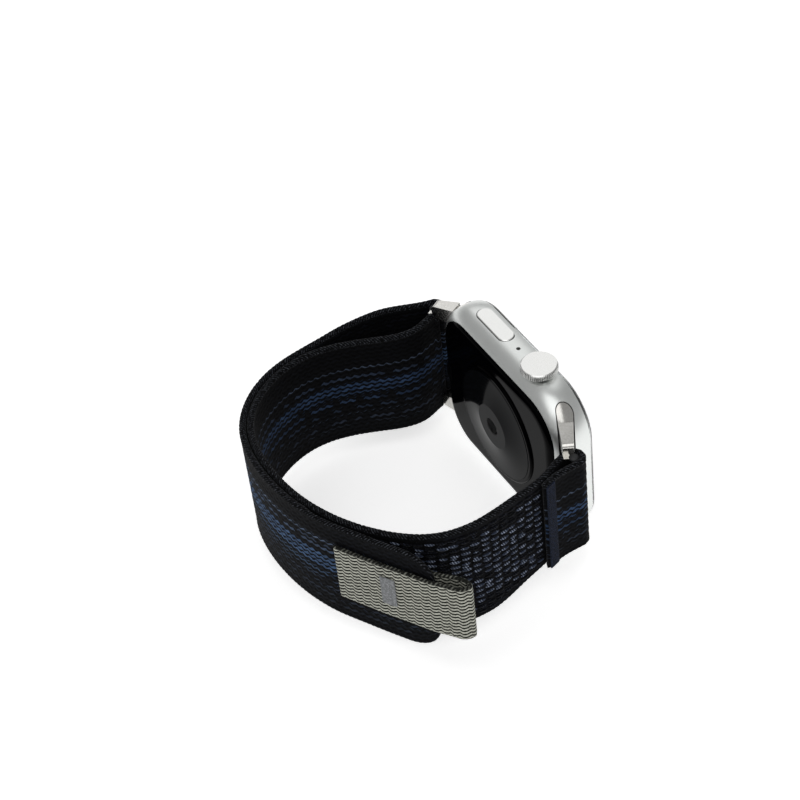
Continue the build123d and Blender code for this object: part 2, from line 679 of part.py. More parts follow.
def strip(path, start, end, offset, thickness, low_z, high_z, step=2.5):
    """Length of webbing along a path, its middle an offset outwards from the path."""
    count = max(4, round(abs(end - start) * path.length / step) + 1)
    shares = spread(start, end, count)
    sides = []
    for shift in (offset - thickness / 2, offset + thickness / 2):
        sides.append(Spline(*beside(path, shares, shift)))
    ends = [Line(sides[0] @ share, sides[1] @ share) for share in (0, 1)]
    outline = Plane.XY.offset(low_z) * make_face(sides + ends)
    return extrude(outline, high_z - low_z)


def inner_path():
    near = Vector(BAR_X, -(BAR_Y - FOLD_R))
    far = Vector(BAR_X, BAR_Y - FOLD_R)
    return Spline(near, *place(LOOP_SHAPE), far, tangents=((-1, 0), (1, 0)))


def outer_path(inner):
    """Outer layer from the far lug back over the inner one to where the tail begins."""
    start = Vector(BAR_X, BAR_Y + FOLD_R)
    wrapped = beside(inner, spread(MEET_AT, TAIL_AT, 6), PITCH)
    return Spline(start, *place(ARCH_SHAPE), *wrapped, tangents=((-1, 0.25), -(inner % TAIL_AT)))


def tail_path(inner):
    """End of the outer layer, which peels off and stands a little proud at its tip."""
    wrapped = beside(inner, spread(TAIL_AT, TAIL_LEAVES_AT, 3), PITCH)
    return Spline(*wrapped, *place(TAIL_SHAPE), tangents=(-(inner % TAIL_AT), (0.5, -0.87)))


def turnback_path(inner):
    """Sewn end of the webbing behind the near lug."""
    start = Vector(BAR_X, -(BAR_Y + FOLD_R))
    reach = TURNBACK_LENGTH / inner.length
    ends = beside(inner, [reach * 0.75, reach], PITCH)
    return Spline(start, *ends, tangents=((-1, 0), inner % reach))


def tab_path(tail):
    """Loop of narrow webbing: along the tail's face, round its tip and back inside it."""
    face = BAND_T / 2 + GLUE_GAP + TAB_T / 2
    outer_leg = beside(tail, spread(TAB_FROM, 1.0, 5), -face)
    inner_leg = beside(tail, (1.0, 0.88), face)
    return Spline(*outer_leg, *place(TAB_SHAPE), *inner_leg)


def fold(side):
    """Half turn of webbing round a lug bar."""
    ring = Circle(FOLD_R + BAND_T / 2) - Circle(FOLD_R - BAND_T / 2)
    half = ring & (Pos(FOLD_R * 2, 0) * Rectangle(FOLD_R * 4, FOLD_R * 4))
    placed = Plane.XY.offset(BAND_LOW_Z) * Pos(BAR_X, side * BAR_Y) * half
    return extrude(placed, BAND_WIDTH)


def notched(piece):
    """Webbing with slots in its edges where the arms of the lugs go through."""
    head_r = CHANNEL_HEAD_R - LUG_GAP + ARM_GAP
    for side in (-1, 1):
        outline = tongue(side, head_r, ARM_HALF + ARM_GAP, FOOT_REACH + ARM_GAP)
        slot = extrude(Plane.XY.offset(ARM_INNER_Z - ARM_GAP) * outline, BAND_WIDTH)
        piece = piece - slot - mirror(slot, Plane.XY)
    return piece


def trimmed(piece):
    """Webbing that narrows towards the near lug."""
    start_x, end_x = END_TRIM_X
    lug_x = BAR_X + 2 * FOLD_R
    for edge_z, trim, beyond in ((BAND_TOP_Z, -END_TRIM_TOP, 1), (BAND_LOW_Z, END_TRIM_LOW, -1)):
        outline = Polyline(
            (start_x, edge_z + beyond), (start_x, edge_z), (end_x, edge_z + trim),
            (lug_x, edge_z + trim), (lug_x, edge_z + beyond), close=True,
        )
        piece = piece - extrude(Plane.XZ * make_face(outline.edges()), 2 * BAR_Y)
    return piece


def webbing(path, start=0, end=1):
    """Full-width length of the band along a path."""
    return strip(path, start, end, 0, BAND_T, BAND_LOW_Z, BAND_TOP_Z)


def strap_inner(inner):
    return notched(trimmed(webbing(inner)))


def strap_turnback(inner):
    return notched(trimmed(fold(-1) + webbing(turnback_path(inner))))


def strap_outer(inner):
    return notched(fold(1) + webbing(outer_path(inner)))


def rounded_tip(path, piece):
    """Rounds the free end of a strip off in its own face."""
    end = path @ 1
    along = path % 1
    across = Vector(along.Y, -along.X)
    face = Plane(origin=(end.X, end.Y, BAND_MIDDLE_Z), x_dir=(along.X, along.Y, 0),
                 z_dir=(across.X, across.Y, 0))
    square = Pos(-TIP_R / 2, 0) * Rectangle(TIP_R, BAND_WIDTH + 1)
    kept = Pos(-TIP_R, 0) * RectangleRounded(2 * TIP_R, BAND_WIDTH, TIP_R * 0.98)
    return piece - extrude(face * (square - kept), 3 * BAND_T, both=True)


def strap_tail(inner):
    path = tail_path(inner)
    piece = strip(path, 0, 1, -HOOK_T / 2, BAND_T - HOOK_T, BAND_LOW_Z, BAND_TOP_Z)
    return rounded_tip(path, piece)


def hook_patch(inner):
    """Hook tape under the tail."""
    path = tail_path(inner)
    offset = (BAND_T - HOOK_T) / 2 + GLUE_GAP
    return strip(path, *HOOK_RUN, offset, HOOK_T - GLUE_GAP,
                 BAND_LOW_Z + HOOK_MARGIN, BAND_TOP_Z - HOOK_MARGIN)


def turnback_tack(inner):
    """Dense stitched bar across the end of the turned-back webbing."""
    path = turnback_path(inner)
    start = 1 - TACK_WIDTH / path.length
    offset = BAND_T / 2 + GLUE_GAP + TACK_T / 2
    low_z = BAND_LOW_Z + END_TRIM_LOW + BAR_TACK_MARGIN
    top_z = BAND_TOP_Z - END_TRIM_TOP - BAR_TACK_MARGIN
    return strip(path, start, 1, offset, TACK_T, low_z, top_z)


def pull_tab(inner):
    path = tab_path(tail_path(inner))
    return strip(path, 0, 1, 0, TAB_T, -TAB_WIDTH / 2, TAB_WIDTH / 2, step=1.2)


def tab_tack(inner):
    """Stitched patch that holds the tab on the tail."""
    path = tab_path(tail_path(inner))
    length, height = TAB_TACK_SIZE
    start = TAB_TACK_FROM / path.length
    end = start + length / path.length
    offset = -(TAB_T / 2 + GLUE_GAP + TACK_T / 2)
    return strip(path, start, end, offset, TACK_T, TAB_TACK_LOW_Z, TAB_TACK_LOW_Z + height)


# ---------------------------------------------------------------- output
def write(name, shape):
    shape.label = name
    export_step(shape, f"parts/{name}.step")


os.makedirs("parts", exist_ok=True)
SINGLE_PIECES = [
    case_body, front_glass, display_panel, display_gasket, back_cover, back_seal,
    sensor_ring, sensor_window, sensor_board, photodiodes, light_emitters, charging_coil,
    alignment_magnet, main_board, chip_cans, battery, haptic_motor, speaker, microphone,
    crown_cap, crown_shaft, crown_seals, crown_bushing, crown_encoder, crown_plunger,
    crown_switch, side_button, side_button_switch,
]
for make in SINGLE_PIECES:
    write(make.__name__, make())
for side, end_name in ((-1, "near"), (1, "far")):
    write(f"lug_{end_name}", lug(side))
    write(f"latch_{end_name}", latch(side))
    write(f"release_button_{end_name}", release_button(side))
loop = inner_path()
for make in (strap_inner, strap_turnback, strap_outer, strap_tail, hook_patch,
             turnback_tack, pull_tab, tab_tack):
    write(make.__name__, make(loop))
hinge = beside(loop, [TAIL_AT], PITCH + BAND_T / 2)[0]
print("tail hinge at", round(hinge.X, 3), round(hinge.Y, 3), "loop length", round(loop.length, 1))
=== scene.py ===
"""Looks of a square wrist computer on a woven hook-and-loop band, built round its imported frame."""

import logging
import math
from dataclasses import dataclass, field
from enum import Enum

import bmesh
import bpy
import numpy as np
from mathutils import Matrix, Vector

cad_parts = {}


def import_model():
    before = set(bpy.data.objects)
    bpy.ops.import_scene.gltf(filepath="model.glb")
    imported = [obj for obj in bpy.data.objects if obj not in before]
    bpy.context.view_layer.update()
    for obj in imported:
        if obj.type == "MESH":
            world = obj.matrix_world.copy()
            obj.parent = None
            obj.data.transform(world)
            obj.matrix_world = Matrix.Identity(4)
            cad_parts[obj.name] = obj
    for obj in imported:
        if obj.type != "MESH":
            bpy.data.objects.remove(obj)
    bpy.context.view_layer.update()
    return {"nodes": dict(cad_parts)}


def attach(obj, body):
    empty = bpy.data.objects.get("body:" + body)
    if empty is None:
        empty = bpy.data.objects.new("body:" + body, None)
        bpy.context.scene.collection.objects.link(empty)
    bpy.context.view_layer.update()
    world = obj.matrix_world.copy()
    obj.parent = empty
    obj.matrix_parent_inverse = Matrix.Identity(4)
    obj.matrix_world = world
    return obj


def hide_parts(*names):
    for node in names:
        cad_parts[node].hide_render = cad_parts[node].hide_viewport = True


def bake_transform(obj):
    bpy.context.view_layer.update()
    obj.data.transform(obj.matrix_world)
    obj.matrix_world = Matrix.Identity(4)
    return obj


LOG = logging.getLogger("wrist_computer")
MM = 0.001


# ------------------------------------------------------------------ node helpers
def linear(hex_colour: str, alpha: float = 1.0) -> tuple[float, float, float, float]:
    """Turn an sRGB hex colour into linear light.

    Args:
        hex_colour: six hex digits, with or without a hash.
        alpha: opacity that goes with it.

    Returns:
        Red, green, blue and alpha.
    """
    digits = hex_colour.lstrip("#")
    parts = [int(digits[at:at + 2], 16) / 255 for at in (0, 2, 4)]
    light = [p / 12.92 if p <= 0.04045 else ((p + 0.055) / 1.055) ** 2.4 for p in parts]
    return (*light, alpha)


def add_node(
    tree: bpy.types.NodeTree,
    kind: str,
    links: dict[str | int, bpy.types.NodeSocket] | None = None,
    values: dict[str | int, object] | None = None,
    **settings: object,
) -> bpy.types.Node:
    """Add one shader node with its settings, constant inputs and links.

    Args:
        tree: node tree that gets the node.
        kind: node type name without its ShaderNode prefix.
        links: input name or number to the output that feeds it.
        values: input name or number to its constant.
        **settings: attributes of the node itself.

    Returns:
        The new node.
    """
    node = tree.nodes.new("ShaderNode" + kind)
    for name, value in settings.items():
        setattr(node, name, value)
    for key, value in (values or {}).items():
        node.inputs[key].default_value = value
    for key, output in (links or {}).items():
        tree.links.new(output, node.inputs[key])
    return node


def new_material(name: str) -> tuple[bpy.types.Material, bpy.types.NodeTree]:
    """Make an empty node material and return it with its tree."""
    material = bpy.data.materials.new(name)
    material.use_nodes = True
    material.node_tree.nodes.clear()
    return material, material.node_tree


def finish_tree(tree: bpy.types.NodeTree, shader: bpy.types.Node) -> None:
    """Join a shader node to the material's output."""
    add_node(tree, "OutputMaterial", {"Surface": shader.outputs[0]})


def colour_stops(node: bpy.types.Node, stops: list[tuple[float, tuple]],
                 smooth: bool = True) -> None:
    """Fill a colour ramp.

    Args:
        node: the ramp node.
        stops: place from 0 to 1 and colour of each stop, in order.
        smooth: whether colours blend between stops.
    """
    ramp = node.color_ramp
    ramp.interpolation = "LINEAR" if smooth else "CONSTANT"
    while len(ramp.elements) < len(stops):
        ramp.elements.new(1.0)
    for element, (place, colour) in zip(ramp.elements, stops):
        element.position = place
        element.color = colour


# ------------------------------------------------------------------ finishes
@dataclass(frozen=True)
class SolidFinish:
    """A cast, moulded, plated or blasted surface with a fine grain.

    Attributes:
        name: the real material.
        colour: its main sRGB colour.
        shade: the sRGB colour it varies towards.
        metallic: 1 for bare metal.
        roughness: typical roughness.
        spread: how far the roughness varies either way.
        grain: size of the grain in millimetres.
        depth: height of the grain in millimetres.
        stretch: how much longer the grain is along X, Y and Z.
        ior: index of refraction, for what is not metal.
        coat: weight of a clear coat.
        transmission: share of light that goes through.
        painted_glow: painted light that it gives off by itself, so small cells show behind a window.
    """

    name: str
    colour: str
    shade: str
    metallic: float = 0.0
    roughness: float = 0.5
    spread: float = 0.04
    grain: float = 0.3
    depth: float = 0.004
    stretch: tuple[float, float, float] = (1.0, 1.0, 1.0)
    ior: float = 1.5
    coat: float = 0.0
    transmission: float = 0.0
    painted_glow: float = 0.0

    def material(self) -> bpy.types.Material:
        """Build the material."""
        material, tree = new_material(self.name)
        place = add_node(tree, "TexCoord")
        scale = [1 / (self.grain * MM * s) for s in self.stretch]
        mapped = add_node(tree, "Mapping", {"Vector": place.outputs["Object"]}, {"Scale": scale})
        grain = add_node(tree, "TexNoise", {"Vector": mapped.outputs[0]},
                         {"Scale": 1.0, "Detail": 3.0, "Roughness": 0.6})
        broad = add_node(tree, "TexNoise", {"Vector": place.outputs["Object"]},
                         {"Scale": 1 / (9 * MM), "Detail": 2.0})
        both = add_node(tree, "Math", {0: grain.outputs["Fac"], 1: broad.outputs["Fac"]},
                        operation="MULTIPLY")
        tint = add_node(tree, "ValToRGB", {"Fac": both.outputs[0]})
        colour_stops(tint, [(0.12, linear(self.shade)), (0.42, linear(self.colour))])
        rough = add_node(tree, "MapRange", {"Value": broad.outputs["Fac"]},
                         {"From Min": 0.3, "From Max": 0.7,
                          "To Min": max(self.roughness - self.spread, 0.02),
                          "To Max": self.roughness + self.spread})
        bump = add_node(tree, "Bump", {"Height": grain.outputs["Fac"]},
                        {"Strength": 1.0, "Distance": self.depth * MM})
        # Emission Strength is the painted glow, for parts that do not light up by themselves.
        shader = add_node(
            tree, "BsdfPrincipled",
            {"Base Color": tint.outputs["Color"], "Roughness": rough.outputs[0],
             "Normal": bump.outputs[0]},
            {"Metallic": self.metallic, "IOR": self.ior, "Coat Weight": self.coat,
             "Transmission Weight": self.transmission,
             "Emission Color": linear(self.colour), "Emission Strength": self.painted_glow},
        )
        finish_tree(tree, shader)
        return material


@dataclass(frozen=True)
class KnurledMetal:
    """Turned metal wheel with fine grooves cut round its side, shown only as painted shade in its
    colour.

    Attributes:
        name: the real material.
        colour: sRGB colour of its flat face and ridges.
        painted_groove_shade: sRGB colour of the painted shade deep in the grooves.
        centre: X and Y of its axis in millimetres.
        rim_r: radius from which the grooves start.
        count: number of grooves.
    """

    name: str
    colour: str
    painted_groove_shade: str
    centre: tuple[float, float]
    rim_r: float
    count: int

    def material(self) -> bpy.types.Material:
        """Build the material."""
        material, tree = new_material(self.name)
        place = add_node(tree, "TexCoord")
        local = add_node(tree, "VectorMath", {0: place.outputs["Object"]},
                         {1: (self.centre[0] * MM, self.centre[1] * MM, 0)}, operation="SUBTRACT")
        axes = add_node(tree, "SeparateXYZ", {"Vector": local.outputs[0]})
        flat = add_node(tree, "CombineXYZ", {"X": axes.outputs["X"], "Y": axes.outputs["Y"]})
        radius = add_node(tree, "VectorMath", {0: flat.outputs[0]}, operation="LENGTH")
        turn = add_node(tree, "Math", {0: axes.outputs["Y"], 1: axes.outputs["X"]},
                        operation="ARCTAN2")
        spun = add_node(tree, "Math", {0: turn.outputs[0]}, {1: float(self.count)},
                        operation="MULTIPLY")
        wave = add_node(tree, "Math", {0: spun.outputs[0]}, operation="COSINE")
        cut = add_node(tree, "MapRange", {"Value": wave.outputs[0]},
                       {"From Min": 0.0, "From Max": 0.9})
        rim = add_node(tree, "MapRange", {"Value": radius.outputs["Value"]},
                       {"From Min": self.rim_r * MM, "From Max": (self.rim_r + 0.1) * MM})
        # Mask of the painted shade in the grooves, round the side beyond rim_r only.
        deep = add_node(tree, "Math", {0: cut.outputs[0], 1: rim.outputs[0]},
                        operation="MULTIPLY")
        grain = add_node(tree, "TexNoise", {"Vector": place.outputs["Object"]},
                         {"Scale": 1 / (0.25 * MM), "Detail": 2.0})
        rough = add_node(tree, "MapRange", {"Value": grain.outputs["Fac"]},
                         {"From Min": 0.3, "From Max": 0.7, "To Min": 0.24, "To Max": 0.32})
        # The base colour darkens towards the painted groove shade inside that mask.
        tint = add_node(tree, "Mix", {0: deep.outputs[0]},
                        {6: linear(self.colour), 7: linear(self.painted_groove_shade)}, data_type="RGBA")
        shader = add_node(tree, "BsdfPrincipled",
                          {"Base Color": tint.outputs[2], "Roughness": rough.outputs[0]},
                          {"Metallic": 1.0})
        finish_tree(tree, shader)
        return material


@dataclass(frozen=True)
class PrintedSapphire:
    """Sapphire window with black print behind it and a clear middle.

    Attributes:
        name: the real material.
        colour: the print's sRGB colour.
        clear_r: radius of the clear middle in millimetres.
        turning: pitch of the faint turned rings in millimetres.
        veil: how much the clear middle still hides.
    """

    name: str
    colour: str
    clear_r: float
    turning: float
    veil: float = 0.25

    def material(self) -> bpy.types.Material:
        """Build the material."""
        material, tree = new_material(self.name)
        place = add_node(tree, "TexCoord")
        axes = add_node(tree, "SeparateXYZ", {"Vector": place.outputs["Object"]})
        flat = add_node(tree, "CombineXYZ", {"Y": axes.outputs["Y"], "Z": axes.outputs["Z"]})
        radius = add_node(tree, "VectorMath", {0: flat.outputs[0]}, operation="LENGTH")
        opaque = add_node(tree, "MapRange", {"Value": radius.outputs["Value"]},
                          {"From Min": self.clear_r * MM, "From Max": (self.clear_r + 0.3) * MM,
                           "To Min": self.veil, "To Max": 1.0}, interpolation_type="SMOOTHSTEP")
        rings = add_node(tree, "Math", {0: radius.outputs["Value"]},
                         {1: 2 * math.pi / (self.turning * MM)}, operation="MULTIPLY")
        wave = add_node(tree, "Math", {0: rings.outputs[0]}, operation="SINE")
        rough = add_node(tree, "MapRange", {"Value": wave.outputs[0]},
                         {"From Min": -1.0, "From Max": 1.0, "To Min": 0.05, "To Max": 0.13})
        shader = add_node(
            tree, "BsdfPrincipled",
            {"Alpha": opaque.outputs[0], "Roughness": rough.outputs[0]},
            {"Base Color": linear(self.colour), "IOR": 1.09},
        )
        finish_tree(tree, shader)
        return material


@dataclass(frozen=True)
class YarnStripe:
    """A stripe of coloured yarn along a webbing.

    Attributes:
        low: its lower edge across the webbing in millimetres.
        high: its upper edge.
        colour: sRGB colour of its yarn.
        filled: share of its stitches that show the colour.
    """

    low: float
    high: float
    colour: str
    filled: float = 1.0


@dataclass(frozen=True)
class WovenFinish:
    """Rows of yarn that swell and thin along the webbing, coloured by stripes across it.

    Attributes:
        name: the real material.
        ground: sRGB colour of the ground yarn.
        gap: sRGB colour of the shade between the rows.
        half: half of the width that the stripes are placed on, in millimetres.
        row: spacing of the rows in millimetres.
        stitch: length of a swell in millimetres.
        stripes: stripes from low to high.
        thick: usual share of the spacing that a row fills.
        swell: how much that share goes up and down.
        uneven: how far stitches differ in brightness.
        sheen: weight of the fibre sheen.
        shift: how far the stripes stand off their places, in millimetres.
    """

    name: str
    ground: str
    gap: str
    half: float
    row: float
    stitch: float
    stripes: tuple[YarnStripe, ...]
    thick: float = 0.6
    swell: float = 0.22
    uneven: float = 0.55
    sheen: float = 0.02
    shift: float = 0.0

    def ramp_place(self, across: float) -> float:
        """Place on the stripe ramp of a distance across the webbing."""
        return min(max((across + self.shift + self.half) / (2 * self.half), 0.0), 1.0)

    def stops(self, colours: bool) -> list[tuple[float, tuple]]:
        """Ramp stops of the stripes, either their colours or how filled they are."""
        ground = linear(self.ground) if colours else (0.0, 0.0, 0.0, 1.0)
        found = [(0.0, ground)]
        for stripe in self.stripes:
            shade = stripe.filled
            value = linear(stripe.colour) if colours else (shade, shade, shade, 1.0)
            found.append((self.ramp_place(stripe.low), value))
            found.append((self.ramp_place(stripe.high), ground))
        return found

    def material(self) -> bpy.types.Material:
        """Build the material on the webbing's own yarn coordinates, in millimetres."""
        material, tree = new_material(self.name)

        def math_node(operation: str, first: object, second: object = 0.0,
                      third: object = 0.0) -> bpy.types.NodeSocket:
            """Add one step of arithmetic on sockets or numbers."""
            given = {0: first, 1: second, 2: third}
            sockets = {k: v for k, v in given.items() if isinstance(v, bpy.types.NodeSocket)}
            numbers = {k: v for k, v in given.items() if k not in sockets}
            return add_node(tree, "Math", sockets, numbers, operation=operation).outputs[0]

        yarn = add_node(tree, "UVMap", uv_map="yarn")
        split = add_node(tree, "SeparateXYZ", {"Vector": yarn.outputs[0]})
        along, wide = split.outputs["X"], split.outputs["Y"]
        rows = math_node("DIVIDE", wide, self.row)
        number = math_node("FLOOR", rows)
        within = math_node("ABSOLUTE", math_node("SUBTRACT", math_node("FRACT", rows), 0.5))
        length = math_node("MULTIPLY_ADD", along, 1 / self.stitch,
                           math_node("MULTIPLY", number, 0.5))
        stitch = math_node("FLOOR", length)
        swell = math_node("SINE", math_node("MULTIPLY_ADD", length, 2 * math.pi, -math.pi / 2))
        filled = math_node("MULTIPLY_ADD", swell, self.swell / 2, self.thick / 2)
        body = add_node(tree, "MapRange", {"Value": math_node("SUBTRACT", filled, within)},
                        {"From Min": -0.03, "From Max": 0.12})
        cell = add_node(tree, "CombineXYZ", {"X": stitch, "Y": number})
        chance = add_node(tree, "TexWhiteNoise", {"Vector": cell.outputs[0]},
                          noise_dimensions="2D").outputs["Value"]
        across = add_node(tree, "MapRange", {"Value": wide},
                          {"From Min": -self.half, "From Max": self.half})
        stripe = add_node(tree, "ValToRGB", {"Fac": across.outputs[0]})
        colour_stops(stripe, self.stops(True), smooth=False)
        share = add_node(tree, "ValToRGB", {"Fac": across.outputs[0]})
        colour_stops(share, self.stops(False), smooth=False)
        lit = add_node(tree, "MapRange",
                       {"Value": math_node("SUBTRACT", share.outputs["Color"], chance)},
                       {"From Min": -0.05, "From Max": 0.05})
        fibres = add_node(tree, "TexNoise", {"Vector": yarn.outputs[0]},
                          {"Scale": 4.0, "Detail": 2.0, "Distortion": 0.6})
        fuzz = add_node(tree, "MapRange", {"Value": fibres.outputs["Fac"]},
                        {"From Min": 0.3, "From Max": 0.7, "To Min": 0.55, "To Max": 1.35})
        level = math_node("MULTIPLY", fuzz.outputs[0],
                          math_node("MULTIPLY_ADD", chance, self.uneven, 1 - self.uneven / 2))
        thread = add_node(tree, "Mix", {0: lit.outputs[0], 7: stripe.outputs["Color"]},
                          {6: linear(self.ground)}, data_type="RGBA")
        worn = add_node(tree, "VectorMath", {0: thread.outputs[2], 1: level},
                        operation="MULTIPLY")
        woven = add_node(tree, "Mix", {0: body.outputs[0], 7: worn.outputs[0]},
                         {6: linear(self.gap)}, data_type="RGBA")
        bump = add_node(tree, "Bump", {"Height": fibres.outputs["Fac"]},
                        {"Strength": 0.5, "Distance": 0.08 * MM})
        shader = add_node(
            tree, "BsdfPrincipled",
            {"Base Color": woven.outputs[2], "Normal": bump.outputs[0]},
            {"Roughness": 0.9, "Sheen Weight": self.sheen, "Sheen Roughness": 0.4,
             "Specular IOR Level": 0.08},
        )
        finish_tree(tree, shader)
        return material


@dataclass(frozen=True)
class TwillFinish:
    """Fine slanting threads, as on a hem, a cord or a stitched bar.

    Attributes:
        name: the real material.
        dark: sRGB colour between the threads.
        light: sRGB colour on the threads.
        pitch: thread spacing in millimetres.
        slant: how far the threads lean, across for each step along.
        speckle: size of the uneven patches in millimetres.
        sheen: weight of the fibre sheen.
    """

    name: str
    dark: str
    light: str
    pitch: float
    slant: float
    speckle: float
    sheen: float = 0.05

    def material(self) -> bpy.types.Material:
        """Build the material on the webbing's own yarn coordinates, in millimetres."""
        material, tree = new_material(self.name)
        yarn = add_node(tree, "UVMap", uv_map="yarn")
        split = add_node(tree, "SeparateXYZ", {"Vector": yarn.outputs[0]})
        lean = add_node(tree, "Math", {0: split.outputs["Y"], 2: split.outputs["X"]},
                        {1: self.slant}, operation="MULTIPLY_ADD")
        turn = add_node(tree, "Math", {0: lean.outputs[0]}, {1: 2 * math.pi / self.pitch},
                        operation="MULTIPLY")
        wave = add_node(tree, "Math", {0: turn.outputs[0]}, operation="SINE")
        thread = add_node(tree, "MapRange", {"Value": wave.outputs[0]},
                          {"From Min": -0.3, "From Max": 0.9})
        patches = add_node(tree, "TexNoise", {"Vector": yarn.outputs[0]},
                           {"Scale": 1 / self.speckle, "Detail": 2.0})
        patchy = add_node(tree, "MapRange", {"Value": patches.outputs["Fac"]},
                          {"From Min": 0.42, "From Max": 0.66})
        shown = add_node(tree, "Math", {0: thread.outputs[0], 1: patchy.outputs[0]},
                         operation="MULTIPLY")
        tint = add_node(tree, "ValToRGB", {"Fac": shown.outputs[0]})
        colour_stops(tint, [(0.0, linear(self.dark)), (1.0, linear(self.light))])
        bump = add_node(tree, "Bump", {"Height": thread.outputs[0]},
                        {"Strength": 0.6, "Distance": 0.05 * MM})
        shader = add_node(
            tree, "BsdfPrincipled",
            {"Base Color": tint.outputs["Color"], "Normal": bump.outputs[0]},
            {"Roughness": 0.85, "Sheen Weight": self.sheen, "Sheen Roughness": 0.4,
             "Specular IOR Level": 0.08},
        )
        finish_tree(tree, shader)
        return material


OUTER_STRIPES = (
    YarnStripe(-11.2, -10.2, "1e232c", 0.5),
    YarnStripe(-9.2, -8.1, "232934", 0.6),
    YarnStripe(-7.1, -6.0, "28303e", 0.7),
    YarnStripe(-5.0, -3.9, "2c3748", 0.8),
    YarnStripe(-2.9, -1.8, "33445a", 0.9),
    YarnStripe(-1.3, 3.3, "3a4f6c", 1.2),
    YarnStripe(4.2, 5.2, "3a475b", 0.75),
    YarnStripe(5.8, 6.8, "303a4a", 0.6),
    YarnStripe(7.2, 7.9, "4d5a6e", 1.2),
)
INNER_STRIPES = (
    YarnStripe(-10.3, -9.4, "20252e", 0.6),
    YarnStripe(-8.6, -7.6, "262c38", 0.7),
    YarnStripe(-6.9, -6.3, "303846", 1.2),
    YarnStripe(-5.2, -4.2, "222b3a", 0.7),
    YarnStripe(-3.1, -2.0, "26344a", 0.85),
    YarnStripe(-1.4, -0.5, "283850", 0.9),
    YarnStripe(-0.3, 2.4, "2b3d58", 1.2),
    YarnStripe(3.2, 4.2, "2b3546", 0.7),
    YarnStripe(6.0, 6.6, "3a4352", 1.2),
)


